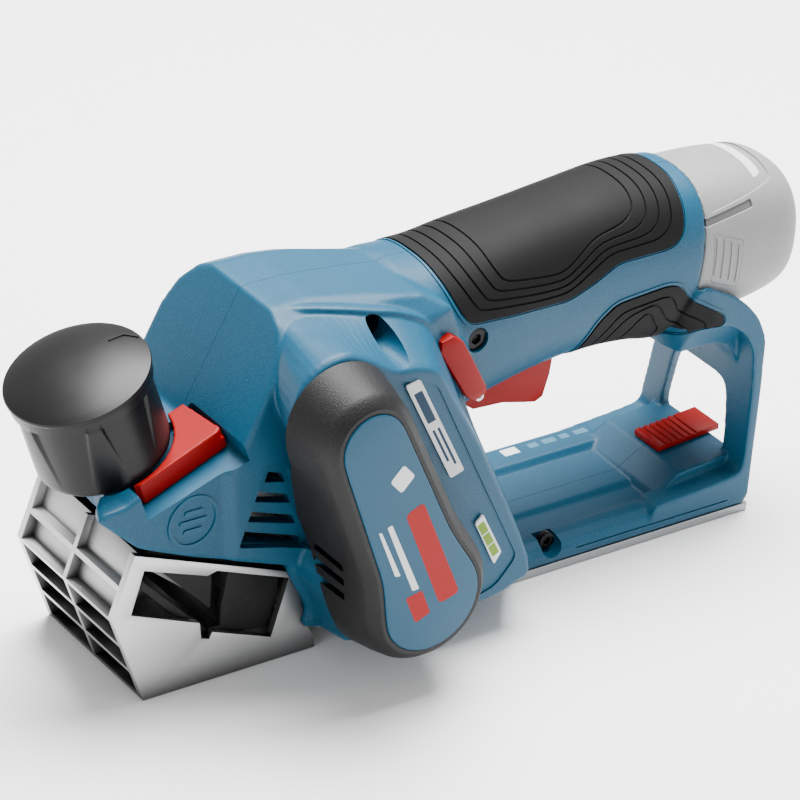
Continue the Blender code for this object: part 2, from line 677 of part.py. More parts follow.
def motor():
    stator = ring_bar(MOTOR_X, MOTOR_Z, -18, 14, STATOR_R, 10.0, 32)
    finish(stator, "motor_stator", (0.35, 0.33, 0.32), 0.4, 0.8)
    rotor = fuse(across(MOTOR_X, MOTOR_Z, -16, 12, 9.5, 28),
                 across(MOTOR_X, MOTOR_Z, -64.5, 22.4, SHAFT_R, 16))
    finish(rotor, "motor_rotor", STEEL, 0.35, 1.0, pivot=(MOTOR_X, 0, MOTOR_Z))
    fan = across(MOTOR_X, MOTOR_Z, -24.5, -19.5, 6.0, 20)
    for i in range(8):
        blade = prism([(-0.7, 4), (0.7, 4), (2.2, 13.0), (0.8, 13.0)], -24.5, -19.5)
        spin = Matrix.Rotation(2 * math.pi * i / 8, 4, "Y")
        blade.data.transform(Matrix.Translation(world((0, 0, 0))).inverted())
        blade.data.transform(spin)
        blade.data.transform(Matrix.Translation(world((MOTOR_X, 0, MOTOR_Z))))
        fuse(fan, blade)
    cut(fan, across(MOTOR_X, MOTOR_Z, -30, -10, SHAFT_R + 0.3, 16))
    finish(fan, "cooling_fan", BLACK, 0.5, pivot=(MOTOR_X, 0, MOTOR_Z))


# ---------------------------------------------------------------- controls

def lock_off_outline(grow):
    """The slanted safety button, seen from the side."""
    return [(101.5 - grow, 103.3 + grow), (106.0, 104.5 + grow), (110.2 + grow, 101.5),
            (121.0 + grow, 82.5), (121.0 + grow, 80.4 - grow), (116.4, 78.2 - grow),
            (113.4 - grow, 80.5 - grow), (101.5 - grow, 99.5)]


def controls():
    trigger = prism([(130.5, 61.5), (136, 57.5), (148, 56.8), (157, 54.5), (161.5, 53.5),
                     (164.5, 55), (166.5, 63), (168, 80), (150, 80), (130.5, 72)], -8, 8)
    finish(trigger, "trigger", RED, 0.3, pivot=(133.5, 0, 66))
    pin = cut(across(133.5, 66, -14, 14, 1.6, 16), across(133.5, 66, -20, -13.4, 0.8, 6))
    cut(trigger, across(133.5, 66, -20, 20, 1.9, 16))
    finish(pin, "trigger_pin", STEEL, 0.3, 1.0)
    button = prism(lock_off_outline(0), -33.0, -22.5)
    finish(button, "lock_off_button", RED, 0.3)
    switch = box((140, -9, 88), (166, 9, 104))
    fuse(switch, box((146, -3, 83.2), (152, 3, 90)))
    finish(switch, "switch_module", BLACK, 0.5)
    board = box((112, -18, 70.5), (114, 18, 106))
    fuse(board, box((113.5, -12, 78), (119, 6, 92)))
    finish(board, "control_board", (0.02, 0.18, 0.06), 0.5)


def park_rest():
    spots = (218.5, 239.0, 244.5)
    low = [(x, sill_z(x) + GAP) for x in spots]
    high = [(x, sill_z(x) + GAP + 2.0) for x in reversed(spots)]
    slider = prism(low + high, -6.8, 6.8)
    for i in range(6):
        x = 221.0 + 2.6 * i
        cut(slider, box((x, -12, sill_z(x) + GAP + 1.5), (x + 1.0, 12, 40)))
    finish(slider, "park_rest_slider", RED, 0.35)
    foot = prism([(225, 0.5)] + [(241.4, 0.5), (241.8, 2.7), (225, 2.7)]
                 + arc(225, 1.6, 1.1, 110, 250, 4), -12, 12)
    cut(foot, across(225, 1.6, -20, 20, 0.65, 12))
    finish(foot, "park_rest_foot", BLACK, 0.5, pivot=(225, 0, 1.6))
    finish(across(225, 1.6, -12.3, 12.3, 0.55, 12), "park_rest_pin", STEEL, 0.3, 1.0)


# ---------------------------------------------------------------- battery

def latch_outline(grow):
    """The battery's release button, seen from the side."""
    return [(217.2 - grow, 92.3 - grow), (229.4 + grow, 86.9 - grow), (229.4 + grow, 104.6 + grow),
            (217.2 - grow, 109.6 + grow)]


def battery():
    start = COLLAR_X + GAP
    rings = [oval(start, 97.5, 24.6, 28.0, lean=0.09), oval(236, 98, 24.2, 26.8, lean=0.06),
             oval(249, 98, 23, 24.6, lean=0.04), oval(255.5, 97.8, 20.5, 21.6),
             oval(258, 97.8, 15.5, 16.5)]
    shell = loft(rings)
    stem = loft([oval(182, 98.4, 20.9, 21.5, squareness=2.2), oval(222, 97.6, 20.9, 21.5,
                                                                   squareness=2.2)])
    fuse(shell, stem)
    cut(shell, rod((170, 0, 98), (1, 0, 0), 84.5, 19.4, 32))
    for side in (-1, 1):
        low, high = sorted((side * 20.3, side * 30))
        cut(shell, prism(latch_outline(0.4), low, high))
    finish(shell, "battery_shell", GREY, 0.5)
    for number in range(3):
        angle = math.pi / 2 + 2 * math.pi * number / 3
        centre = (185.5, 10.05 * math.cos(angle), 98 + 10.05 * math.sin(angle))
        finish(rod(centre, (1, 0, 0), 65, 8.6, 20), f"battery_cell_{number + 1}",
               (0.1, 0.35, 0.2), 0.35)
    cap = rod((181.0, 0, 98), (1, 0, 0), 3.8, 19.0, 28)
    finish(cap, "battery_terminals", BLACK, 0.4)
    for name, side in (("latch_left", -1), ("latch_right", 1)):
        low, high = sorted((side * 22.3, side * 24.7))
        finish(prism(latch_outline(0), low, high), name, GREY, 0.45)
    contacts = box((172, -12, 88), (176, 12, 108))
    for y in (-8, 0, 8):
        fuse(contacts, box((175, y - 1, 92), (180.4, y + 1, 104)))
    finish(contacts, "contact_block", BLACK, 0.4)


# ---------------------------------------------------------------- badges and fasteners

def badges():
    label = prism([(75.5, 103.4), (80.8, 104.6), (101.0, 66.9), (95.9, 65.2)],
                  SLAB_Y - 0.6, SLAB_Y - GAP)
    finish(label, "side_label", (0.75, 0.76, 0.76), 0.35)
    gauge = prism([(107.4, 45.2), (110.2, 47.9), (119.0, 31.6), (116.5, 27.6)],
                  SLAB_Y - 0.6, SLAB_Y - GAP)
    finish(gauge, "charge_gauge", (0.45, 0.62, 0.25), 0.35)


def housing_screws():
    spots = (("handle_screw", 121.5, 95.5, -24.6, 3.9), ("head_screw", 76.0, 113.5, -27.5, 4.3),
             ("base_screw", 158.9, 9.6, -24.6, 2.9))
    for name, x, z, near, radius in spots:
        screw = across(x, z, near, near + 2.5, radius, 20)
        cut(screw, across(x, z, near - 1, near + 1.4, radius * 0.5, 6))
        finish(screw, name, STEEL, 0.3, 1.0)


clear_scene()
housing_halves()
belt_cover()
grips()
front_shoe()
guide_pins()
shoe_seal()
chip_chute()
rear_sole()
sole_screws()
depth_knob()
depth_spindle()
lock_catch()
cutter_drum()
planer_blade()
pulleys()
drive_belt()
bearings()
motor()
controls()
park_rest()
battery()
badges()
housing_screws()
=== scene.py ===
import json
import math

import bmesh
import bpy
import numpy as np
from mathutils import Matrix, Vector


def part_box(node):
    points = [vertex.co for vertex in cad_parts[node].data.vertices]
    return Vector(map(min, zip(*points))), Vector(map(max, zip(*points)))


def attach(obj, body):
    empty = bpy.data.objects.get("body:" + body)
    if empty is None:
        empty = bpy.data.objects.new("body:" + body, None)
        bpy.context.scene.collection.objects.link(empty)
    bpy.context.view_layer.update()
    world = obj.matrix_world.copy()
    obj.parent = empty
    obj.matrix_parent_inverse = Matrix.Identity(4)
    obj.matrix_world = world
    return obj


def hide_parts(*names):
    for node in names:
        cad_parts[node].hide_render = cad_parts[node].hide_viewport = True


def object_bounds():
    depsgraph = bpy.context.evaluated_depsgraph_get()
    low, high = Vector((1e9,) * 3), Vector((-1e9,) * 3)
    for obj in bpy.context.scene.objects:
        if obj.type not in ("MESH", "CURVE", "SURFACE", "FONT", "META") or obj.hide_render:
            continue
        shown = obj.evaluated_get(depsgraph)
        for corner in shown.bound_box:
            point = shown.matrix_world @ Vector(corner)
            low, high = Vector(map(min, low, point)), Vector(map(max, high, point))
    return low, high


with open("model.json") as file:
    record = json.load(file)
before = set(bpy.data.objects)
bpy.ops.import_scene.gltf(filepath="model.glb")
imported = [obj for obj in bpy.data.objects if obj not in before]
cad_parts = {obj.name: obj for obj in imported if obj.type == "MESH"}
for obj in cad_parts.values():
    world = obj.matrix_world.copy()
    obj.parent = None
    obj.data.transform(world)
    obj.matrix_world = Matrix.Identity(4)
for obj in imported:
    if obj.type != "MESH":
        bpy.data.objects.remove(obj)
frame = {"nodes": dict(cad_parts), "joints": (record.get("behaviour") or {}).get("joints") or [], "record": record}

CAD_BOX = [list(corner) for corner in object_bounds()]
MM = 0.001
GAP = 0.3                    # between neighbouring pieces

JOINTS = {joint["name"]: joint for joint in frame["joints"]}
SOLE_REAR = 242.0
ORIGIN_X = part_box("rear_sole")[1].x / MM - SOLE_REAR


def place(point):
    x, y, z = point
    return Vector(((x + ORIGIN_X) * MM, y * MM, z * MM))


def working(position):
    """A frame position in metres as working millimetres."""
    return Vector((position[0] / MM - ORIGIN_X, position[1] / MM, position[2] / MM))


KNOB_FOOT = working(JOINTS["depth_knob_turn"]["pos_m"])
KNOB_AXIS = Vector(JOINTS["depth_knob_turn"]["axis"]).normalized()
SIDEWAYS = Vector((0.0, 1.0, 0.0))
FORWARD = SIDEWAYS.cross(KNOB_AXIS)
DRUM = working(JOINTS["drum_spin"]["pos_m"])
MOTOR = working(JOINTS["rotor_spin"]["pos_m"])
SOLE_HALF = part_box("rear_sole")[1].y / MM
COVER_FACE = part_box("belt_cover")[0].y / MM
PANEL_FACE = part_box("cover_face_panel")[0].y / MM

CORE_NEAR = -33.0            # the head's side faces
CORE_FAR = 31.0
SLAB_Y = -50.0               # outer face of the belt slab
WALL = 2.8
LOWER_LOBE = (78.0, 36.0, 22.5)      # belt cover: x, z, radius
UPPER_LOBE = (51.0, 99.0, 16.0)
COLLAR_X = 212.5             # where the handle ends and the battery starts
TRAY_Z = 11.5
CUT_R = 26.0
SPINDLE_R = 4.0
BUTTON_ROOM = 0.15           # around the lock-off button
SEAM = 0.07                  # half the line between the two housing halves
HEAD_SCREW = (76.0, 113.5)   # x, z of the holes and marks in the housing
HANDLE_SCREW = (121.5, 95.5)
BASE_SCREW = (158.9, 9.4)
GRIP_DIMPLE = (156.0, 112.6)
TRIGGER_PIN = (133.5, 66.0)
BADGE = (13.4, 62.7)         # x, z of the round badge on the lip
BODY_VOXEL, EDGE_VOXEL = 0.85, 0.55  # first and second remesh of the housing
THROUGH = 60                 # half width of a cutter that passes the whole tool


# ---- mesh building

def linked(name, data):
    """A new object for the data, put in the scene."""
    item = bpy.data.objects.new(name, data)
    bpy.context.scene.collection.objects.link(item)
    return item


def solid(points, faces):
    """A closed body from working points and faces."""
    mesh = bpy.data.meshes.new("solid")
    mesh.from_pydata([place(p) for p in points], [], faces)
    work = bmesh.new()
    work.from_mesh(mesh)
    bmesh.ops.triangulate(work, faces=[f for f in work.faces if len(f.verts) > 4])
    bmesh.ops.recalc_face_normals(work, faces=work.faces)
    work.to_mesh(mesh)
    work.free()
    return linked("solid", mesh)


def loft(rings):
    """A skin through rings of equal length, closed by a face at each end."""
    count = len(rings[0])
    points = [p for ring in rings for p in ring]
    faces = [tuple(range(count)), tuple(range(len(points) - count, len(points)))]
    for level in range(len(rings) - 1):
        low = level * count
        high = low + count
        for i in range(count):
            j = (i + 1) % count
            faces.append((low + i, low + j, high + j, high + i))
    return solid(points, faces)


def prism(outline, low, high, plane="XZ"):
    """An outline swept along the axis its plane leaves out."""
    def at(pair, depth):
        a, b = pair
        return {"XZ": (a, depth, b), "YZ": (depth, a, b), "XY": (a, b, depth)}[plane]
    return loft([[at(p, low) for p in outline], [at(p, high) for p in outline]])


def box(low, high):
    outline = [(low[0], low[2]), (high[0], low[2]), (high[0], high[2]), (low[0], high[2])]
    return prism(outline, low[1], high[1])


def frame_of(axis):
    axis = Vector(axis).normalized()
    side = Vector((0, 0, 1)) if abs(axis.y) > 0.9 else SIDEWAYS
    first = (side - axis * side.dot(axis)).normalized()
    return axis, first, axis.cross(first)


def turned(profile, start, axis, steps=64):
    """A solid of revolution: (distance along the axis, radius) from end to end."""
    axis, first, second = frame_of(axis)
    start = Vector(start)
    rings = []
    for along, radius in profile:
        rings.append([start + axis * along
                      + first * (radius * math.cos(2 * math.pi * i / steps))
                      + second * (radius * math.sin(2 * math.pi * i / steps))
                      for i in range(steps)])
    return loft(rings)


def rod(start, axis, length, radius, steps=48):
    return turned([(0, radius), (length, radius)], start, axis, steps)


def across(x, z, near, far, radius, steps=48):
    return rod((x, near, z), (0, 1, 0), far - near, radius, steps)


def arc(centre_x, centre_z, radius, first, last, steps):
    points = []
    for i in range(steps + 1):
        angle = math.radians(first + (last - first) * i / steps)
        points.append((centre_x + radius * math.cos(angle),
                       centre_z + radius * math.sin(angle)))
    return points


def rounded(outline, radius, steps=5):
    """An outline with each corner replaced by an arc-like curve."""
    points = []
    count = len(outline)
    for i in range(count):
        before = Vector(outline[i - 1])
        corner = Vector(outline[i])
        after = Vector(outline[(i + 1) % count])
        reach_in = min(radius, (before - corner).length * 0.45)
        reach_out = min(radius, (after - corner).length * 0.45)
        start = corner + (before - corner).normalized() * reach_in
        end = corner + (after - corner).normalized() * reach_out
        for k in range(steps + 1):
            t = k / steps
            points.append(tuple(start * (1 - t) ** 2 + corner * (2 * t * (1 - t)) + end * t ** 2))
    return points


def tilted(outline, low, high):
    """An outline in the knob's own plane, swept along the knob's axis from its foot."""
    return loft([[KNOB_FOOT + FORWARD * a + SIDEWAYS * b + KNOB_AXIS * h for a, b in outline]
                 for h in (low, high)])


def bake(item):
    """Put an object's modifiers into its mesh."""
    graph = bpy.context.evaluated_depsgraph_get()
    mesh = bpy.data.meshes.new_from_object(item.evaluated_get(graph))
    item.modifiers.clear()
    item.data = mesh
    return item


def combine(target, tool, operation):
    change = target.modifiers.new("combine", "BOOLEAN")
    change.operation = operation
    change.solver = "MANIFOLD"
    change.object = tool
    bake(target)
    bpy.data.objects.remove(tool)
    return target


def fuse(target, *tools):
    for tool in tools:
        combine(target, tool, "UNION")
    return target


def cut(target, *tools):
    """Take tools out of a body; they are joined first, because the body can be large."""
    return combine(target, fuse(*tools), "DIFFERENCE")


def overlap(target, tool):
    return combine(target, tool, "INTERSECT")


def drop(*items):
    for item in items:
        bpy.data.objects.remove(item)


def copy_of(item):
    return linked("solid", item.data.copy())


def soften(item, voxel, rounds):
    """Remesh a body into even small faces and round its edges."""
    remesh = item.modifiers.new("remesh", "REMESH")
    remesh.mode = "VOXEL"
    remesh.voxel_size = voxel * MM
    smooth = item.modifiers.new("smooth", "SMOOTH")
    smooth.iterations = rounds
    smooth.factor = 0.5
    return bake(item)


def shade(item, angle):
    item.data.shade_smooth()
    item.data.set_sharp_from_angle(angle=math.radians(angle))
    return item


# ---- materials

def node(tree, kind, **values):
    made = tree.nodes.new(kind)
    for key, value in values.items():
        if key in made.inputs:
            made.inputs[key].default_value = value
        else:
            setattr(made, key, value)
    return made


def mix_colour(tree, factor, first, second):
    mix = tree.nodes.new("ShaderNodeMix")
    mix.data_type = "RGBA"
    for socket, value in ((0, factor), (6, first), (7, second)):
        if hasattr(value, "is_output"):
            tree.links.new(value, mix.inputs[socket])
        else:
            mix.inputs[socket].default_value = value if socket == 0 else (*value, 1.0)
    return mix.outputs[2]


def ramp(tree, source, low, high, first=0.0, last=1.0):
    """A source value spread from low..high to first..last."""
    change = node(tree, "ShaderNodeMapRange", **{"From Min": low, "From Max": high,
                                                 "To Min": first, "To Max": last})
    tree.links.new(source, change.inputs["Value"])
    return change.outputs["Result"]


ROUGHNESS_SPREAD = 0.08      # how far a finish's roughness wanders
MOTTLE_SCALE = 45.0


def surface(name, colour, roughness, metallic=0.0, grain=2600.0, bump=0.00004, speck=0.12,
            wear=0.10, mottle=0.06, specular=0.5, stretch=(1, 1, 1), shadow=0.0):
    """A procedural finish: mottled colour, fine grain, specks, worn edges, painted shade in hollows when shadow is
    set, and bump.
    """
    material = bpy.data.materials.new(name)
    material.use_nodes = True
    tree = material.node_tree
    shader = tree.nodes["Principled BSDF"]
    coordinates = node(tree, "ShaderNodeTexCoord")
    scaled = node(tree, "ShaderNodeMapping", Scale=stretch)
    tree.links.new(coordinates.outputs["Object"], scaled.inputs["Vector"])
    fine = node(tree, "ShaderNodeTexNoise", Scale=grain, Detail=2.0, Roughness=0.6)
    broad = node(tree, "ShaderNodeTexNoise", Scale=MOTTLE_SCALE, Detail=4.0, Roughness=0.55)
    for texture in (fine, broad):
        tree.links.new(scaled.outputs["Vector"], texture.inputs["Vector"])
    dark = tuple(c * (1 - mottle) for c in colour)
    light = tuple(min(1.0, c * (1 + mottle) + 0.001) for c in colour)
    base = mix_colour(tree, broad.outputs["Fac"], dark, light)
    bright = tuple(min(1.0, c * 1.4 + 0.012) for c in colour)
    sparkle = ramp(tree, fine.outputs["Fac"], 0.52, 0.52 + 0.6 / max(speck * 10, 0.1))
    base = mix_colour(tree, sparkle, base, bright)
    geometry = node(tree, "ShaderNodeNewGeometry")
    edge = ramp(tree, geometry.outputs["Pointiness"], 0.53, 0.53 + 0.35 / max(wear * 10, 0.1))
    base = mix_colour(tree, edge, base, bright)
    # Painted shade: the AO node darkens the colour towards colour × (1 − shadow) in hollows and pockets, where
    # shade falls.
    if shadow:
        open_sky = node(tree, "ShaderNodeAmbientOcclusion", Distance=0.012, samples=8)
        deep = ramp(tree, open_sky.outputs["AO"], 0.35, 0.95)
        base = mix_colour(tree, deep, tuple(c * (1 - shadow) for c in colour), base)
    tree.links.new(base, shader.inputs["Base Color"])
    rough = ramp(tree, broad.outputs["Fac"], 0.0, 1.0, max(0.02, roughness - ROUGHNESS_SPREAD),
                 min(1.0, roughness + ROUGHNESS_SPREAD))
    tree.links.new(rough, shader.inputs["Roughness"])
    relief = node(tree, "ShaderNodeBump", Distance=bump, Strength=1.0)
    tree.links.new(fine.outputs["Fac"], relief.inputs["Height"])
    tree.links.new(relief.outputs["Normal"], shader.inputs["Normal"])
    shader.inputs["Metallic"].default_value = metallic
    shader.inputs["Specular IOR Level"].default_value = specular
    material.diffuse_color = (*colour, 1.0)
    return material


FINISH = {
    "blue_plastic": surface("blue_plastic", (0.0, 0.050, 0.098), 0.46, bump=0.00009, speck=0.30,
                            specular=0.25),
    "black_plastic": surface("black_plastic", (0.0035, 0.0035, 0.004), 0.5, bump=0.00014,
                             grain=2200.0, speck=0.25, specular=0.22),
    "rubber_grip": surface("rubber_grip", (0.003, 0.003, 0.0034), 0.66, bump=0.00003, speck=0.06,
                           specular=0.12),
    "red_plastic": surface("red_plastic", (0.21, 0.0, 0.0), 0.4, bump=0.000015, speck=0.02,
                           wear=0.03, specular=0.12),
    "grey_plastic": surface("grey_plastic", (0.19, 0.193, 0.197), 0.5, bump=0.00007, speck=0.2,
                            specular=0.3),
    # cast_aluminium carries painted shade: its colour is darkened in hollows by the AO node (shadow=0.92).
    "cast_aluminium": surface("cast_aluminium", (0.40, 0.40, 0.40), 0.40, 1.0, bump=0.00006,
                              speck=0.05, grain=1800.0, shadow=0.92),
    "sole_aluminium": surface("sole_aluminium", (0.26, 0.27, 0.28), 0.34, 1.0, bump=0.00002,
                              stretch=(1, 8, 8), grain=900.0),
    "steel": surface("steel", (0.42, 0.42, 0.43), 0.28, 1.0, bump=0.00001, speck=0.03),
    "label_film": surface("label_film", (0.42, 0.43, 0.44), 0.3, bump=0.000008, speck=0.02),
    "gauge_film": surface("gauge_film", (0.34, 0.50, 0.10), 0.35, bump=0.000008, speck=0.02),
    "windings": surface("windings", (0.22, 0.10, 0.05), 0.4, 0.6, bump=0.0001, grain=1200.0),
    "circuit": surface("circuit", (0.01, 0.12, 0.05), 0.35, bump=0.00003),
    "cell_wrap": surface("cell_wrap", (0.03, 0.20, 0.12), 0.3, bump=0.00001),
}


def print_ink(name, colour):
    """The finish of a flat printed mark."""
    return surface(name, colour, 0.5, bump=0.000004, speck=0.01, specular=0.15)


WHITE_PRINT = print_ink("white_print", (0.55, 0.56, 0.57))
RED_PRINT = print_ink("red_print", (0.23, 0.0, 0.0))
GREEN_PRINT = print_ink("green_print", (0.13, 0.22, 0.02))
NAVY_PRINT = print_ink("navy_print", (0.0, 0.02, 0.05))
FAINT_PRINT = print_ink("faint_print", (0.05, 0.13, 0.19))
SATIN_BLACK = surface("satin_black", (0.0035, 0.0035, 0.004), 0.36, bump=0.000012, speck=0.03,
                      specular=0.2)
DARK_GREY = surface("dark_grey", (0.09, 0.09, 0.092), 0.5, bump=0.00003, speck=0.05)
BLACK_STEEL = surface("black_steel", (0.012, 0.012, 0.013), 0.32, 1.0, bump=0.00001, speck=0.03)

for entry in frame["record"]["subparts"]:
    cad_node = frame["nodes"][entry["node"]]
    cad_node.data.materials.clear()
    cad_node.data.materials.append(FINISH[entry["material_slot"]])


def piece(item, name, body, slot, *nodes, material=None, angle=32):
    """Name a finished piece, give it its finish and fix it to its body."""
    item.name = name
    item.data.name = name
    item.data.materials.clear()
    item.data.materials.append(material or FINISH[slot])
    shade(item, angle)
    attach(item, body)
    if nodes:
        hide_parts(*nodes)
    return item


# ---- shaping helpers

def curve_at(p0, p1, p2, p3, t):
    """A point between p1 and p2 on the smooth curve through all four."""
    return 0.5 * (2 * p1 + (p2 - p0) * t + (2 * p0 - 5 * p1 + 4 * p2 - p3) * t * t
                  + (3 * p1 - p0 - 3 * p2 + p3) * t ** 3)


def spline(points, steps=8):
    """A smooth closed curve through points (any dimension)."""
    points = [Vector(p) for p in points]
    count = len(points)
    curve = []
    for i in range(count):
        four = [points[(i + k) % count] for k in (-1, 0, 1, 2)]
        curve += [tuple(curve_at(*four, step / steps)) for step in range(steps)]
    return curve


def blend_rows(rows, steps=6):
    """Rows of numbers, filled in smoothly between the given ones."""
    rows = [np.array(row, dtype=float) for row in rows]
    filled = []
    for i in range(len(rows) - 1):
        four = [rows[max(i - 1, 0)], rows[i], rows[i + 1], rows[min(i + 2, len(rows) - 1)]]
        filled += [curve_at(*four, step / steps) for step in range(steps)]
    return filled + [rows[-1]]


def offset(outline, distance):
    """An outline moved outwards by a distance along its corner normals."""
    points = [Vector(p) for p in outline]
    count = len(points)
    area = sum(points[i - 1].x * points[i].y - points[i].x * points[i - 1].y
               for i in range(count))
    sign = 1 if area > 0 else -1
    moved = []
    for i in range(count):
        ahead = (points[(i + 1) % count] - points[i]).normalized()
        behind = (points[i] - points[i - 1]).normalized()
        normal = Vector((ahead.y + behind.y, -ahead.x - behind.x)) * 0.5 * sign
        length = max(normal.length, 0.5)
        moved.append(tuple(points[i] + normal * (distance / length ** 2)))
    return moved


def line_band(outline, width, low, high):
    """A thin wall that follows a closed outline, as a cutter for a groove."""
    return cut(prism(offset(outline, width / 2), low, high),
               prism(offset(outline, -width / 2), low - 1, high + 1))


def swollen(item, distance):
    """A copy of a body moved outwards along its normals."""
    twin = copy_of(item)
    mesh = twin.data
    count = len(mesh.vertices)
    places = np.empty(count * 3)
    normals = np.empty(count * 3)
    mesh.vertices.foreach_get("co", places)
    mesh.vertex_normals.foreach_get("vector", normals)
    mesh.vertices.foreach_set("co", places + normals * distance * MM)
    mesh.update()
    return twin


def oval(x, centre_z, half_wide, half_high, lean=0.0, squareness=2.5, steps=96):
    """A handle section: a rounded oval in a plane across x, leaning with height."""
    ring = []
    for i in range(steps):
        angle = 2 * math.pi * i / steps
        wide = abs(math.cos(angle)) ** (2 / squareness) * half_wide
        high = abs(math.sin(angle)) ** (2 / squareness) * half_high
        y = math.copysign(wide, math.cos(angle))
        rise = math.copysign(high, math.sin(angle))
        ring.append((x + lean * rise, y, centre_z + rise))
    return ring


def detailed(name, body, slot, width, material):
    """A CAD node's shape with rounded edges, smooth shading and its finish."""
    item = copy_of(frame["nodes"][name])
    weld = item.modifiers.new("weld", "WELD")
    weld.merge_threshold = 0.002 * MM
    bevel = item.modifiers.new("bevel", "BEVEL")
    bevel.width = width * MM
    bevel.segments = 3
    bevel.limit_method = "ANGLE"
    bevel.angle_limit = math.radians(28)
    bevel.harden_normals = False
    bake(item)
    return piece(item, name + "_detail", body, slot, name, material=material, angle=30)


# ---- housing

def evened(outline, count, rounds):
    """A closed outline cut into equal steps, then smoothed a few rounds."""
    points = np.array([tuple(p) for p in outline], dtype=float)
    points = np.vstack([points, points[:1]])
    lengths = np.linalg.norm(np.diff(points, axis=0), axis=1)
    travel = np.concatenate([[0.0], np.cumsum(lengths)])
    marks = np.linspace(0.0, travel[-1], count, endpoint=False)
    even = np.stack([np.interp(marks, travel, column) for column in points.T], axis=1)
    for _ in range(rounds):
        even = 0.5 * even + 0.25 * (np.roll(even, 1, axis=0) + np.roll(even, -1, axis=0))
    return [tuple(p) for p in even]


def lobed_outline(grow, count=168):
    """The belt cover's outline: two lobes joined by a waist, grown outwards."""
    x1, z1, r1 = LOWER_LOBE
    x2, z2, r2 = UPPER_LOBE
    ring = (arc(x1, z1, r1 + grow, 202, 386, 40)
            + [(87.4 + 0.9 * grow, 61.5 + 0.4 * grow)]
            + arc(x2, z2, r2 + grow, 22, 202, 36)
            + [(54.1 - grow, 47.6)])
    return evened(ring, count, 14)


SHOULDER = ((38, 122), (52, 116.5), (63, 114.8), (75, 113.2), (90, 109.6), (105, 106.0),
            (118, 104.4), (130, 104.4))
SHOULDER_WALL = 3.6


def far_shoulder(drop=0):
    """What the head's far top edge lacks; drop lowers it for the hollow inside."""
    return loft([[(x, 45, z - 7.2 - drop), (x, -5, z + 16.8 - drop), (x, -5, 155), (x, 45, 155)]
                 for x, z in SHOULDER])


def head_shape():
    """The motor and drum housing between the two side faces."""
    side = [(24.5, 76.5), (27.2, 81.8), (47.0, 121.3), (62.0, 121.4), (83.0, 119.6),
            (99.0, 117.4), (107.5, 113.0), (113.0, 100.0), (117.0, 94.0), (117.0, 66.0),
            (117.5, 60.0), (133.0, 27.0), (147.0, 12.5), (150.0, 3.3), (63.5, 3.3),
            (60.5, 18.0), (55.5, 34.5), (28.0, 45.0)]
    section = [(CORE_NEAR, 0.0), (CORE_NEAR, 104.0), (-30.0, 112.0), (-24.0, 118.2),
               (-16.0, 121.6), (16.0, 121.6), (23.0, 118.2), (28.5, 111.6),
               (CORE_FAR, 103.0), (CORE_FAR, 0.0)]
    plan = [(0, CORE_NEAR - 1), (86, CORE_NEAR), (112, -28.7), (160, -28.7), (160, 28.7),
            (112, 28.7), (86, CORE_FAR), (0, CORE_FAR + 1)]
    core = overlap(prism(side, -40, 40), prism(section, 10, 160, "YZ"))
    overlap(core, prism(plan, -5, 140, "XY"))
    cut(core, far_shoulder())
    return cut(core, box((40, -45, -5), (170, -SOLE_HALF, 13.5)),
               box((40, SOLE_HALF, -5), (170, 45, 13.5)))


def lip_shape():
    """The tilted cradle that carries the knob, open in the middle at its front."""
    side = [(-20.6, 71.6), (-18.6, 73.8), (-10.6, 74.6), (-4.0, 78.0), (27.0, 81.0), (60.0, 81.0),
            (60.0, 33.0), (50.4, 35.8), (13.8, 49.4), (-1.4, 56.0), (-5.6, 58.1)]
    edge = SOLE_HALF + 2.4
    plan = [(-21.0, -edge), (-18.0, -24.5), (-8.0, -14.0), (-4.0, -6.0), (-3.0, 8.0), (-3.0, 22.0),
            (-5.0, edge), (60.0, edge), (60.0, -edge)]
    return overlap(prism(side, -edge, edge), prism(plan, 20, 90, "XY"))


def handle_shape(inset=0.0, reach=0.0):
    """The handle from the head to the battery collar."""
    stations = [(100, 60, 118.4, 27.5), (118, 61.5, 118.3, 26), (134, 65.2, 120.6, 25),
                (153, 68.8, 122.8, 24), (174, 70.8, 125.2, 24), (192, 69.6, 127.2, 24.5),
                (203, 67.8, 127.2, 25), (COLLAR_X, 69, 126.3, 25)]
    rings = []
    rows = blend_rows(stations)
    for row, (x, low, high, half) in enumerate(rows):
        end = row == len(rows) - 1
        lean = 0.09 * max(0.0, min(1.0, (x - 190) / 20))
        rings.append(oval(x + (reach if end else 0), (low + high) / 2, half - inset,
                          (high - low) / 2 - inset, lean=lean))
    return loft(rings)


SLAB_INNER = [(54, 50, -29), (49, 78, -27), (41, 98, -22), (41.5, 109, -17), (47, 119.5, -14),
              (57, 121.0, -19.5), (68, 120.6, -24.5), (77, 119.3, -27.5), (88, 116.5, -29),
              (99, 109.5, -29.5), (109, 91, -29.5), (120, 66, -29.5), (141, 24, -29),
              (143, 8, -29), (118, 6.5, -29), (63.2, 8.5, -29), (58.9, 17.9, -29), (50.2, 36, -29)]
SLAB_OUTER = [(59, 50), (48, 78), (36.5, 95), (37.5, 108), (43.5, 116.5), (53, 119),
              (62, 115.5), (72, 109.5), (81, 108), (89, 104), (96.1, 92.1), (109.1, 69.8),
              (130.9, 25), (126, 17), (111, 14), (66, 14), (61, 21), (56.5, 35)]


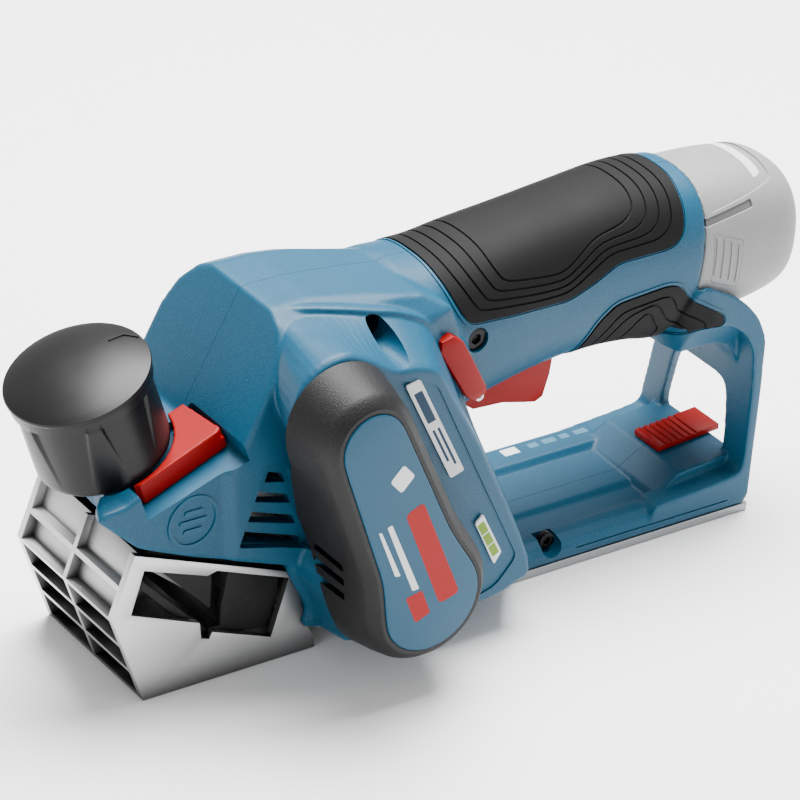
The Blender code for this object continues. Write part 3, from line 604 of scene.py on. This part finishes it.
def slab_shape():
    """The thick slab on the belt side, with a raised rim where it leaves the head."""
    rim = spline([(x, z) for x, z, y in SLAB_INNER], 4)
    depth = [p[0] for p in spline([(y, 0) for x, z, y in SLAB_INNER], 4)]
    face = spline(SLAB_OUTER, 4)
    ledge = offset(rim, -2.0)
    root = offset(rim, -3.0)

    def ring(outline, depths):
        return [(x, y, z) for (x, z), y in zip(outline, depths)]
    between = [((2 * a[0] + b[0]) / 3, (2 * a[1] + b[1]) / 3) for a, b in zip(ledge, face)]
    return loft([ring(root, [y + 12 for y in depth]),
                 ring(rim, [y + 1.5 for y in depth]),
                 ring(rim, [y - 1.0 for y in depth]),
                 ring(offset(rim, -0.8), [y - 1.8 for y in depth]),
                 ring(ledge, [y - 1.6 for y in depth]),
                 ring(between, [y * 0.62 - 19.0 for y in depth]),
                 ring(offset(face, 0.9), [SLAB_Y + 2.0] * len(face)),
                 ring(face, [SLAB_Y + 0.5] * len(face)),
                 ring(offset(face, -0.7), [SLAB_Y] * len(face))])


def sill_z(x):
    """Height of the sloping face that the red slider runs on."""
    return 17.7 + (x - 218.5) / 13.0


def arch_shape():
    """The loop behind the hand: two legs, a top bar that cradles the battery, and a sill."""
    outer = rounded([(-SOLE_HALF, 3.3), (SOLE_HALF, 3.3), (SOLE_HALF, 20), (24.5, 44), (24.5, 62),
                     (27.2, 76), (26.8, 95), (-26.8, 95), (-27.6, 76), (-SOLE_HALF, 62)], 2.0)
    opening = rounded([(-16.3, 10.0), (16.3, 10.0), (17.6, 22), (14.2, 40), (11.5, 45.2),
                       (-12.0, 45.2), (-14.8, 41), (-16.6, 22)], 5.0)
    loop = prism(outer, 195, SOLE_REAR, "YZ")
    side = rounded([(206, 74.0), (207, 86), (213, 92.5), (221, 88.2), (230.5, 83.0), (237.6, 75.5),
                    (241.4, 67.5), (SOLE_REAR, 46), (SOLE_REAR, 3.3), (200, 3.3), (200, 12.6),
                    (224, 14.2), (238.0, 15.6), (238.4, 29.4), (237.8, 51.8), (236.4, 64),
                    (231.5, 71.5), (224, 76.0), (212, 77.0)], 4.0)
    overlap(loop, prism(side, -40, 40))
    bar = rounded([(206, 65.8), (225, 65.8), (232.6, 62.5), (237.2, 56), (238.4, 48), (242.0, 47),
                   (242.0, 66), (238.0, 74), (230, 78), (206, 78)], 3.0)
    across_bar = [(-18, 40), (-20, 64), (-26.6, 77), (26.6, 77), (20, 64), (18, 40)]
    fuse(loop, overlap(prism(bar, -40.0, 40.0), prism(across_bar, 195, SOLE_REAR, "YZ")))
    taper = loft([oval(200, 97.5, 25.0, 29.3), oval(206, 97.5, 25.3, 29.6),
                  oval(228, 68.0, 29.2, 48.0, squareness=8.0),
                  oval(250, 60.0, 29.2, 60.0, squareness=10.0)])
    overlap(loop, fuse(taper, box((190, -40, 0), (250, 40, 42))))
    rear = SOLE_REAR - 0.4
    cut(loop, box((190, -19.0, 6), (238.4, 19.0, 16.2)))
    cut(loop, prism(opening, 190, SOLE_REAR + 5, "YZ"))
    ramp = prism([(204, 6), (207.5, TRAY_Z + 0.4), (217.0, sill_z(217.0) - 0.2),
                  (rear, sill_z(rear) - 0.2), (rear, 6)], -20.5, 20.5)
    fuse(loop, ramp)
    return cut(loop, battery_room())


def battery_room():
    return loft([oval(COLLAR_X - 4, 97.5, 25.0, 28.4, lean=0.09),
                 oval(262, 97.8, 25.0, 28.4)])


def tray_shape():
    """The low tray between the head and the arch."""
    section = [(-SOLE_HALF, 3.3), (SOLE_HALF, 3.3), (SOLE_HALF, 12.4), (26.6, 13.5),
               (16.5, 13.5), (14.0, TRAY_Z), (-7.0, TRAY_Z - 0.6), (-9.5, 9.6), (-17.5, 9.6),
               (-20.5, 11.2), (-24.0, 11.0), (-27.0, 9.3), (-SOLE_HALF, 6.5)]
    return prism(section, 110, SOLE_REAR - 2.0, "YZ")


def inner_space():
    """Everything hollow inside the two housing halves."""
    head = prism([(31.5, 80), (49.0, 117.6), (62, 117.4), (83, 115.8), (94, 114.0), (99, 108),
                  (101, 98), (104, 90), (108, 64), (115, 58), (128, 28), (128, 16), (60, 16),
                  (57.5, 34), (31.5, 46)], -26.0, 26.0)
    shoulder = prism([(-26.0, 0), (-26.0, 104), (-21, 113.5), (-15, 117.9), (15, 117.9),
                      (21, 113.5), (26.0, 104), (26.0, 0)], 10, 160, "YZ")
    overlap(head, shoulder)
    cut(head, far_shoulder(SHOULDER_WALL))
    slab = prism([(62, 52), (52, 78), (44, 98), (46, 110), (54, 112), (66, 106), (84, 99),
                  (94, 86), (105, 68), (124, 28), (118, 18), (66, 18), (63, 24)],
                 SLAB_Y + 3.0, -20)
    return fuse(head, slab, handle_shape(WALL, 8))


def drum_bay():
    """Round clearance over the drum, with the mouth in the sole and the way to the chute."""
    bay = across(DRUM.x, DRUM.z, -26.5, 28.5, CUT_R + 1.6, 80)
    mouth = box((58, -SOLE_HALF - 4, -2), (92.5, SOLE_HALF + 4, 9))
    return fuse(bay, mouth, prism([(30, 36), (62, 18), (62, 40), (30, 52)], -24, 24))


def vent_slots(near, far):
    """Cooling slots that widen downwards."""
    slots = []
    for row in range(4):
        z = 72.4 - 6.25 * row
        left = 40.6 - 3.1 * row
        right = 46.3 + 2.5 * row
        drop = 0.36 * (right - left)
        slots.append(prism(rounded([(left, z), (right, z - drop), (right + 1.1, z - drop - 3.5),
                                    (left - 1.2, z - 3.5)], 0.5, 3), near, far))
    return slots


def lock_off_outline(grow):
    """The slanted safety button, seen from the side."""
    return rounded([(101.5 - grow, 103.3 + grow), (106.0, 104.5 + grow), (110.2 + grow, 101.5),
                    (121.0 + grow, 82.5), (121.0 + grow, 80.4 - grow), (116.4, 78.2 - grow),
                    (113.4 - grow, 80.5 - grow), (101.5 - grow, 99.5)], 2.0)


def knob_recess():
    """Room for the knob, its spindle, the shoe's pins and the lock catch."""
    pins = [tilted(arc(0, side, 2.9, 0, 345, 23), -45, -7) for side in (-18, 18)]
    return [tilted(arc(0, 0, SPINDLE_R + 0.5, 0, 352, 44), -45, 1), *pins,
            tilted(arc(0, 0, 25.0, 0, 357, 119), -1.2, 60),
            tilted(rounded([(-5.3, -36), (31.5, -36), (31.5, -2), (-5.3, -2)], 2.0), -5.7, 12)]


def cover_ring(grow_top, grow_front, depth, front_depth):
    """One ring of the belt cover; its front stretch can lie at another depth."""
    ring = []
    for (x1, z1), (x2, z2) in zip(lobed_outline(grow_top), lobed_outline(grow_front)):
        share = max(0.0, min(1.0, (70.0 - x1) / 20.0)) * max(0.0, 1 - abs(z1 - 56.0) / 30.0)
        share = share ** 0.7
        ring.append((x1 + (x2 - x1) * share, depth + (front_depth - depth) * share,
                     z1 + (z2 - z1) * share))
    return ring


def cover_outside(clear=0.0):
    """The belt cover's outer body; clear makes the housing's seat for it."""
    seat = SLAB_Y - GAP + 1.1 * clear
    front_seat = CORE_NEAR - GAP + 1.1 * clear
    face = COVER_FACE
    return loft([cover_ring(3.6 + clear, 0.5 + clear, seat, front_seat),
                 cover_ring(2.0 + clear, 0.5 + clear, -59.0, -58.0),
                 cover_ring(0.5 + clear, 0.4 + clear, -65.0, -65.0),
                 cover_ring(clear, clear, -66.0, -66.0),
                 cover_ring(clear - 0.5, clear - 0.5, -66.7, -66.7),
                 cover_ring(clear - 2.6, clear - 2.6, face + 0.3, face + 0.3),
                 cover_ring(clear - 3.2, clear - 3.2, face, face)])


def badge_ring():
    """A round moulded badge with plain bars on the lip's near side."""
    x, z = BADGE
    y = -SOLE_HALF - 2.4
    ring = cut(across(x, z, y - 0.45, y + 2, 9.2, 96), across(x, z, y - 1, y + 3, 7.9, 96))
    for level, half in ((66.0, 3.4), (62.7, 5.0), (59.4, 3.4)):
        outline = [(x - half, level + 0.9), (x + half, level + 0.9),
                   (x + half, level - 0.9), (x - half, level - 0.9)]
        fuse(ring, prism(rounded(outline, 0.8), y - 0.45, y + 2))
    return ring


def housing_shape():
    """The outside of both housing halves in one body, without its openings."""
    body = fuse(head_shape(), handle_shape(), lip_shape())
    soften(body, BODY_VOXEL, 7)
    fuse(body, slab_shape(), tray_shape(), arch_shape())
    return soften(body, EDGE_VOXEL, 4)


def open_housing(body):
    """Cut the housing's hollow, vents, cover seat, holes, panel bed and side grooves."""
    cut(body, inner_space(), drum_bay(), *knob_recess())
    recess = rounded([(38.2, 77.2), (46.6, 73.6), (57.0, 42.0), (29.6, 49.4)], 1.2)
    cut(body, prism(recess, -THROUGH, -30.2))
    cut(body, *vent_slots(-45, -20), *vent_slots(20, 45))
    cut(body, cover_outside(GAP))
    fuse(body, across(DRUM.x, DRUM.z, 22.6, 29.5, 4.0))
    trigger_room = rounded([(127, 58), (172, 58), (172, 84), (127, 84)], 1.0)
    cut(body,
        across(DRUM.x, DRUM.z, -60, -20, 8.2),
        across(MOTOR.x, MOTOR.z, -60, -40, 6.2),
        across(*HEAD_SCREW, -60, -24.4, 4.6),
        across(*HANDLE_SCREW, -40, -21.0, 4.2),
        across(*BASE_SCREW, -40, -20.0, 4.1),
        across(*GRIP_DIMPLE, -40, -20.5, 0.8, 24),
        across(*TRIGGER_PIN, -13.5, 13.5, 1.8),
        prism(trigger_room, -8.6, 8.6),
        prism(lock_off_outline(BUTTON_ROOM), -40, -18.6))
    panel = rounded([(72.0, 106.3), (87.8, 101.0), (109.4, 59.3), (126.0, 27.5), (118.5, 18.6),
                     (100.0, 13.5), (80.0, 60.0)], 3.0)
    cut(body, prism(panel, SLAB_Y - 3, SLAB_Y + 0.5))
    cut(body, *(box((168.5, side - 0.5, 6.1), (233, side + 0.5, 6.6))
                for side in (-SOLE_HALF, SOLE_HALF)))


def seat_grips(body, plain):
    """Cut the grips' beds into the housing and run a thin bead around each."""
    outside = swollen(plain, 0.35)
    inside = swollen(plain, -0.35)
    for outline in (UPPER_GRIP, LOWER_GRIP):
        edge = rounded(outline, GRIP_CORNER)
        seat = prism(offset(edge, 0.35), -THROUGH, THROUGH)
        overlap(seat, copy_of(outside))
        cut(seat, copy_of(inside))
        cut(body, seat)
        bead = cut(line_band(offset(edge, 1.1), 0.7, -THROUGH, THROUGH), copy_of(inside))
        overlap(bead, copy_of(outside))
        fuse(body, bead)
    drop(outside, inside)


def housing():
    """Build both housing shells; the closed outer shape is returned for the grips."""
    body = housing_shape()
    plain = copy_of(body)
    open_housing(body)
    fuse(body, badge_ring())
    seat_grips(body, plain)
    twin = copy_of(body)
    overlap(body, box((-60, -90, -5), (300, -SEAM, 150)))
    overlap(twin, box((-60, SEAM, -5), (300, 90, 150)))
    piece(body, "left_housing_shell", "housing", "blue_plastic", "left_housing")
    piece(twin, "right_housing_shell", "housing", "blue_plastic", "right_housing")
    return plain


# ---- grips

UPPER_GRIP = [(111, 140), (111.3, 117.5), (112.5, 113.5), (114.3, 108.5), (116.5, 104.3),
              (119, 101.9), (136.4, 100.8), (157.9, 100.2), (167.6, 103.7), (177.8, 108.7),
              (198.9, 109.4), (203.5, 112.5), (205.3, 118.7), (206, 124), (207.5, 128),
              (208, 140)]
UPPER_FIRST = [(115.5, 140), (115.5, 117.2), (121.4, 105.9), (124.8, 104.8), (146.6, 102.9),
               (157.8, 102.9), (174.5, 112), (194.6, 113.2), (199.5, 116.5), (202.2, 126),
               (203, 140)]
UPPER_LAST = [(130.4, 140), (130.2, 117.5), (132.6, 112.4), (135.4, 111.2), (148, 110),
              (156.3, 109.8), (170, 117.5), (181.5, 119.6), (186.6, 122.2), (189.3, 127.1),
              (190, 140)]
LOWER_GRIP = [(168, 60), (168.8, 79.8), (172.2, 87.9), (178.3, 93.2), (199.3, 95.5),
              (204.4, 93.7), (207.9, 88.3), (221.8, 80.2), (221.8, 76.7), (211, 77.1),
              (203, 71), (202, 60)]
LOWER_LINES = [[(172.5, 60), (174.5, 80.4), (180.6, 89.7), (199.3, 92), (201.5, 89.8),
                (203.9, 84.9), (215.2, 79.0), (213, 60)],
               [(177.2, 60), (179.2, 80.4), (183.7, 87.1), (193.7, 89.9), (196.4, 88.1),
                (200.2, 82), (209.6, 77), (207, 60)],
               [(184, 60), (186, 78.8), (189.2, 84.9), (192.6, 87.2), (196.9, 80.2),
                (199.2, 78.2), (199, 60)]]
GRIP_CORNER = 3.0
GRIP_PROUD = 0.5             # how far the rubber stands off the handle
GROOVE_FLOOR = -0.05


def grip(plain, outline, lines, name, node_name):
    """A rubber skin on the handle, with nested grooves that follow its outline."""
    skin = prism(rounded(outline, GRIP_CORNER), -THROUGH, THROUGH)
    overlap(skin, swollen(plain, GRIP_PROUD))
    cut(skin, swollen(plain, -0.3))
    grooves = None
    for line in lines:
        band = line_band(rounded(line, 4.0), 0.75, -THROUGH, THROUGH)
        grooves = fuse(grooves, band) if grooves else band
    cut(grooves, swollen(plain, GROOVE_FLOOR))
    cut(skin, grooves)
    cut(skin, box((0, -60, 0), (110, 60, 200)), box((203.8, -24.6, 0), (260, 60, 76.6)))
    return piece(skin, name, "housing", "rubber_grip", node_name)


def grips(plain):
    """Both grips; the upper one's four grooves run evenly from the first to the last."""
    lines = []
    for step in range(4):
        share = step / 3
        lines.append([(a[0] + (b[0] - a[0]) * share, a[1] + (b[1] - a[1]) * share)
                      for a, b in zip(UPPER_FIRST, UPPER_LAST)])
    grip(plain, UPPER_GRIP, lines, "upper_grip_skin", "upper_grip")
    grip(plain, LOWER_GRIP, LOWER_LINES, "lower_grip_skin", "lower_grip")


# ---- belt cover

def mark(name, outline, radius, face, slot, material):
    """A thin printed shape that stands 0.03 mm proud of the face it lies on."""
    shape = prism(rounded(outline, radius), face - 0.03, face + 0.05)
    return piece(shape, name, "housing", slot, material=material)


PANEL_MARKS = (
    ("diamond", [(62.4, 89.6), (67.0, 84.6), (62.4, 79.6), (57.8, 84.6)], 1.2, WHITE_PRINT),
    ("bar", [(71.1, 74), (64.6, 71.1), (80.6, 34.5), (88, 36.8)], 2.0, RED_PRINT),
    ("line", [(59.8, 69.1), (58.1, 68.5), (69.7, 42.4), (72.2, 42.6)], 0.6, WHITE_PRINT),
    ("thin_line", [(56.1, 67.4), (55, 67.4), (62.6, 49.7), (64.6, 49.4)], 0.4, WHITE_PRINT),
    ("tag", [(73.4, 41.6), (67.3, 40.3), (71.9, 30.1), (77.3, 32.3)], 0.8, RED_PRINT))


def belt_cover():
    """The black cover over the belt, its blue panel and the plain shapes printed on it."""
    cover = cover_outside()
    inside = loft([[(x, -20.0, z) for x, z in lobed_outline(-2.4)],
                   [(x, -63.7, z) for x, z in lobed_outline(-2.4)],
                   [(x, -66.9, z) for x, z in lobed_outline(-5.4)]])
    cut(cover, inside, prism(lobed_outline(-4.5), COVER_FACE - 2, COVER_FACE + 0.9))
    for row in range(3):
        z = 45.0 - 5.2 * row
        cut(cover, prism(rounded([(40, z + 8.6), (64, z), (64, z - 2.4), (40, z + 6.2)], 0.5),
                         -56, -40))
    piece(cover, "belt_cover_shell", "housing", "black_plastic", "belt_cover", angle=24)
    low = PANEL_FACE
    panel = loft([[(x, COVER_FACE + 0.6, z) for x, z in lobed_outline(-4.8)],
                  [(x, low + 0.35, z) for x, z in lobed_outline(-4.8)],
                  [(x, low + 0.1, z) for x, z in lobed_outline(-5.05)],
                  [(x, low, z) for x, z in lobed_outline(-5.5)]])
    piece(panel, "cover_panel_plate", "housing", "blue_plastic", "cover_face_panel")
    for name, outline, radius, ink in PANEL_MARKS:
        slot = "red_plastic" if ink == RED_PRINT else "label_film"
        mark("panel_mark_" + name, outline, radius, low, slot, ink)


def label_point(along, over):
    """A point on the side label: shares of its length (top to bottom) and its width."""
    top = Vector((78.2, 104.0)) + Vector((-2.7, -0.6)) * (1 - 2 * over)
    foot = Vector((98.4, 66.1)) + Vector((-2.6, -0.9)) * (1 - 2 * over)
    return tuple(top + (foot - top) * along)


def labels():
    """The side label and charge gauge, with plain bars for print."""
    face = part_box("side_label")[0].y / MM
    plate = prism(rounded([(75.5, 103.4), (80.8, 104.6), (101.0, 66.9), (95.9, 65.2)], 0.9),
                  face, SLAB_Y + 0.1)
    piece(plate, "side_label_plate", "housing", "label_film", "side_label")
    bars = ((0.10, 0.42, 0.22, 0.78), (0.50, 0.90, 0.60, 0.76), (0.50, 0.84, 0.26, 0.42))
    for number, (start, end, low, high) in enumerate(bars):
        outline = [label_point(start, low), label_point(end, low),
                   label_point(end, high), label_point(start, high)]
        mark(f"label_bar_{number + 1}", outline, 0.3, face, "label_film", NAVY_PRINT)
    plate = prism(rounded([(107.4, 45.2), (110.2, 47.9), (119.0, 31.6), (116.5, 27.6)], 0.7),
                  face, SLAB_Y + 0.1)
    piece(plate, "charge_gauge_plate", "housing", "gauge_film", "charge_gauge",
          material=WHITE_PRINT)
    start, end = Vector((109.3, 45.0)), Vector((116.9, 31.0))
    along = (end - start).normalized()
    wide = Vector((-along.y, along.x)) * 1.35
    step = (end - start) / 3
    for number in range(3):
        low = start + step * number + along * 0.25
        high = start + step * (number + 1) - along * 0.25
        outline = [tuple(low + wide), tuple(high + wide), tuple(high - wide), tuple(low - wide)]
        mark(f"gauge_bar_{number + 1}", outline, 0.3, face, "gauge_film", GREEN_PRINT)


# ---- knob and catch

KNOB_HEIGHT = 33.0           # up to the cap's edge; the dome rises above it
KNOB_FOOT_R, KNOB_TOP_R = 21.5, 23.4
CAP_R = KNOB_TOP_R - 0.5
SCOOPS = 6
DOME_POWER = 0.85


def dome_height(share):
    """Height of the cap's dome: share 0 is its edge and 1 its middle."""
    return KNOB_HEIGHT - 0.3 + 3.4 * (1 - (1 - share) ** 2)


def knob_levels():
    """The knob's rings from foot to cap: height, radius and depth of the scoops."""
    height, foot, top = KNOB_HEIGHT, KNOB_FOOT_R, KNOB_TOP_R
    levels = [(0.0, foot - 2.5, 0), (0.5, foot - 1.2, 0), (1.8, foot - 0.1, 0)]
    for i in range(28):
        h = 2.5 + (height - 8.5) * i / 27
        levels.append((h, foot + (top - 0.6 - foot) * h / height, 1.15 * (i / 27) ** 1.1))
    levels += [(height - 5.6, top - 0.7, 0.0), (height - 2.0, top - 0.45, 0.0),
               (height - 1.7, top - 0.1, 0.0), (height - 1.1, top, 0.0),
               (height - 0.5, top - 0.2, 0)]
    for i in range(1, 15):
        share = i / 15
        levels.append((dome_height(share), CAP_R * (1 - share) ** DOME_POWER, 0))
    return levels


def knob_ring(h, radius, depth, steps=288):
    """One ring of the knob, drawn in where a scoop passes it."""
    half = math.radians(14 + 11 * min(1.0, h / (KNOB_HEIGHT - 6)))
    ring = []
    for i in range(steps):
        angle = 2 * math.pi * i / steps
        turn = (angle + math.radians(22) + math.pi / SCOOPS) % (2 * math.pi / SCOOPS)
        away = abs(turn - math.pi / SCOOPS)
        inside = max(0.0, min(1.0, (half - away) / math.radians(2.6)))
        inside = inside * inside * (3 - 2 * inside)
        r = radius - depth * inside
        ring.append(KNOB_FOOT + KNOB_AXIS * h + FORWARD * (r * math.cos(angle))
                    + SIDEWAYS * (r * math.sin(angle)))
    return ring


def on_cap(a, b, lift):
    """A point over the dome, at a and b in the knob's own plane."""
    share = 1 - (min(math.hypot(a, b), CAP_R) / CAP_R) ** (1 / DOME_POWER)
    return KNOB_FOOT + FORWARD * a + SIDEWAYS * b + KNOB_AXIS * (dome_height(share) + lift)


def depth_knob():
    """A domed cap over a cup with shallow scoops that fade out downwards."""
    knob = loft([knob_ring(*level) for level in knob_levels()])
    cut(knob, tilted(arc(0, 0, SPINDLE_R + 0.3, 0, 352, 44), -2, 12))
    outline = rounded([(14.0, 1.8), (19.3, 1.8), (22.2, -1.8), (22.6, -0.9), (19.8, 2.5),
                       (14.0, 2.4)], 0.25)
    fuse(knob, loft([[on_cap(a, b, lift) for a, b in outline] for lift in (-0.8, 0.4)]))
    piece(knob, "depth_knob_cup", "knob", "black_plastic", "depth_knob", material=SATIN_BLACK,
          angle=40)


def lock_catch():
    """The red catch behind the knob, with its top sloped off and its edges rounded."""
    catch = copy_of(frame["nodes"]["depth_lock_catch"])
    slope = loft([[KNOB_FOOT + FORWARD * a + SIDEWAYS * b + KNOB_AXIS * h
                   for b, h in ((-10.0, 2.4), (-27.0, -1.6), (-27.0, 12.0), (-10.0, 12.0))]
                  for a in (-12.0, 45.0)])
    cut(catch, slope)
    soften(catch, 0.35, 5)
    piece(catch, "lock_catch_tab", "catch", "red_plastic", "depth_lock_catch", angle=60)


# ---- battery

BATTERY_SPAN = 30            # half width of a cutter that passes the battery
LATCH_RIBS = ((218.6, 108.0, 218.2, 94.5), (221.6, 107.0, 221.4, 92.6),
              (224.8, 105.2, 225.0, 91.0), (228.0, 103.4, 228.2, 89.4))


def latch_outline(grow):
    """The battery's release button, seen from the side."""
    return rounded([(217.2 - grow, 92.3 - grow), (229.4 + grow, 86.9 - grow),
                    (229.4 + grow, 104.6 + grow), (217.2 - grow, 109.6 + grow)], 1.2)


def battery_shape():
    """The rounded grey block behind the collar."""
    start = COLLAR_X + GAP
    rows = blend_rows([(start, 97.5, 24.6, 28.0, 0.09), (224, 97.8, 24.5, 27.6, 0.07),
                       (236, 98, 24.2, 26.6, 0.06), (247, 98, 23.2, 24.8, 0.04),
                       (253.5, 97.9, 21.4, 22.6, 0.0), (256.8, 97.8, 18.8, 19.8, 0.0),
                       (257.8, 97.8, 15.8, 16.6, 0.0)])
    shell = loft([oval(x, z, wide, high, lean=lean, squareness=2.4)
                  for x, z, wide, high, lean in rows])
    return soften(shell, 0.6, 3)


def battery_prism(outline, radius):
    """A side outline carried through the whole battery."""
    return prism(rounded(outline, radius), -BATTERY_SPAN, BATTERY_SPAN)


def latch_pads(skin):
    """The two release buttons with their ribs, which follow the battery's skin."""
    for hand, side in (("left", -1), ("right", 1)):
        low, high = sorted((side * 22.3, side * BATTERY_SPAN))
        pad = overlap(prism(latch_outline(0), low, high), copy_of(skin))
        for x1, z1, x2, z2 in LATCH_RIBS:
            rib = prism(rounded([(x1 - 0.45, z1), (x1 + 0.45, z1), (x2 + 0.45, z2),
                                 (x2 - 0.45, z2)], 0.45), low, high)
            overlap(rib, swollen(skin, 0.35))
            fuse(pad, rib)
        piece(pad, f"{hand}_latch_pad", f"{hand}_latch", "grey_plastic", f"latch_{hand}")


def battery():
    """The battery's case with its label bed, slot and stem, and the pieces on it."""
    shell = battery_shape()
    room = swollen(shell, -0.45)
    bed = battery_prism([(217.2, 140), (216.6, 115.6), (246.8, 119.4), (248.6, 140)], 2.0)
    cut(bed, copy_of(room))
    cut(shell, bed)
    slot = battery_prism([(212, 114.2), (234.4, 116.8), (234.6, 114.2), (212, 111.6)], 0.5)
    cut(slot, swollen(shell, -0.9))
    strip = overlap(copy_of(slot), swollen(shell, -0.5))
    piece(strip, "battery_slot_strip", "battery", "black_plastic", material=DARK_GREY)
    cut(shell, slot)
    stem = loft([oval(x, z, 20.9, 21.5, squareness=2.2) for x, z in ((182, 98.4), (222, 97.6))])
    fuse(shell, stem)
    cut(shell, rod((170, 0, 98), (1, 0, 0), 84.5, 19.4, 64))
    skin = copy_of(shell)
    for side in (-1, 1):
        low, high = sorted((side * 20.3, side * BATTERY_SPAN))
        cut(shell, prism(latch_outline(0.12), low, high))
    piece(shell, "battery_case", "battery", "grey_plastic", "battery_shell")
    latch_pads(skin)
    band = battery_prism([(240.0, 140), (239.6, 120.6), (243.6, 121.0), (244.4, 140)], 0.6)
    overlap(band, swollen(room, 0.05))
    cut(band, swollen(room, -0.1))
    piece(band, "battery_label_band", "battery", "label_film", material=WHITE_PRINT)
    drop(room, skin)


# ---- all pieces

def tray_print():
    """A pale square and faint bars on the tray's far ledge."""
    ledge = 13.5

    def tray_mark(name, x1, x2, y1, y2, radius, material):
        outline = rounded([(x1, y1), (x2, y1), (x2, y2), (x1, y2)], radius)
        shape = prism(outline, ledge - 0.05, ledge + 0.04, "XY")
        piece(shape, name, "housing", "label_film", material=material)

    tray_mark("tray_square", 175.2, 181.6, 21.4, 25.4, 0.4, WHITE_PRINT)
    for number, (x1, x2) in enumerate(((186, 190), (192, 197.5), (199.5, 203), (205.5, 211))):
        tray_mark(f"tray_bar_{number + 1}", x1, x2, 21.8, 24.6, 0.5, FAINT_PRINT)


def shoe_liners():
    """Black plates that close the shoe's windows off from its inside."""
    outline = [(3.6, 46.4), (9.5, 46.4), (26.0, 40.2), (26.2, 23.6)]
    for name, low, high in (("left_shoe_liner", -24.0, -23.2), ("right_shoe_liner", 23.2, 24.0)):
        piece(prism(rounded(outline, 1.0), low, high), name, "shoe", "black_plastic")


EDGE_WIDTHS = {"front_shoe": 0.35, "rear_sole": 0.25, "trigger": 0.9, "park_rest_slider": 0.25,
               "lock_off_button": 0.5, "chip_chute": 0.3, "cutter_drum": 0.2,
               "handle_screw": 0.25, "head_screw": 0.25, "base_screw": 0.2, "blade_clamp": 0.2,
               "drive_belt": 0.2, "park_rest_foot": 0.3, "battery_terminals": 0.5,
               "contact_block": 0.3}
DARK_SCREWS = ("handle_screw", "head_screw", "base_screw")


def small_pieces():
    """The CAD shapes that keep their form, with rounded edges and smooth shading."""
    body_of_node = {n: body for body, nodes in frame["record"]["behaviour"]["bodies"].items()
                    for n in nodes}
    slot_of_node = {entry["node"]: entry["material_slot"]
                    for entry in frame["record"]["subparts"]}
    for name, width in EDGE_WIDTHS.items():
        dark = BLACK_STEEL if name in DARK_SCREWS else None
        detailed(name, body_of_node[name], slot_of_node[name], width, dark)


plain_body = housing()
grips(plain_body)
drop(plain_body)
belt_cover()
labels()
depth_knob()
lock_catch()
battery()
tray_print()
small_pieces()
shoe_liners()


# ---- camera, floor and light

LENS_MM, SENSOR_MM = 190.9, 36.0
CAMERA_PLACE = (-0.7751, -0.9467, 0.7370)
CAMERA_RIGHT = (0.81787, -0.57097, 0.07131)
CAMERA_UP = (0.23202, 0.44066, 0.86717)
FLOOR_HALF = 3.0
FLOOR_DROP = 0.0002          # keeps the sole and the floor from sharing a plane
SKY_STRENGTH = 0.85
LIGHTS = (("top", (0.15, 0.25, 1.1), (0, 0, 0.05), (0.9, 0.7), 75),
          ("right", (0.9, -0.8, 0.5), (0.05, 0, 0.06), (0.6, 0.6), 2),
          ("left", (-1.1, -0.3, 0.5), (-0.05, 0, 0.06), (0.5, 0.7), 2))


def camera():
    """The photo's own view, as solved from the sole's and the shoe's edges."""
    lens = bpy.data.cameras.new("camera")
    lens.lens = LENS_MM
    lens.sensor_width = SENSOR_MM
    lens.clip_end = 20.0
    right, up = Vector(CAMERA_RIGHT), Vector(CAMERA_UP)
    turn = Matrix((right, up, right.cross(up))).transposed().to_4x4()
    item = linked("camera", lens)
    item.matrix_world = Matrix.Translation(CAMERA_PLACE) @ turn
    bpy.context.scene.camera = item


def soft_light(name, position, aim, size, power):
    lamp = bpy.data.lights.new(name, "AREA")
    lamp.shape = "RECTANGLE"
    lamp.size, lamp.size_y = size
    lamp.energy = power
    item = linked(name, lamp)
    item.location = position
    item.rotation_euler = (Vector(aim) - Vector(position)).to_track_quat("-Z", "Y").to_euler()


def studio():
    """A pale floor, an even white surrounding and three soft lights."""
    mesh = bpy.data.meshes.new("floor")
    size = FLOOR_HALF
    mesh.from_pydata([(-size, -size, 0), (size, -size, 0), (size, size, 0), (-size, size, 0)],
                     [], [(0, 1, 2, 3)])
    floor = linked("floor", mesh)
    floor.location.z = CAD_BOX[0][2] - FLOOR_DROP
    pale = surface("floor", (0.86, 0.86, 0.86), 0.7, bump=0.0, speck=0.01, mottle=0.004)
    mesh.materials.append(pale)
    world = bpy.data.worlds.new("studio")
    world.use_nodes = True
    sky = world.node_tree.nodes["Background"]
    sky.inputs["Color"].default_value = (1, 1, 1, 1)
    sky.inputs["Strength"].default_value = SKY_STRENGTH
    bpy.context.scene.world = world
    for light in LIGHTS:
        soft_light(*light)


camera()
studio()
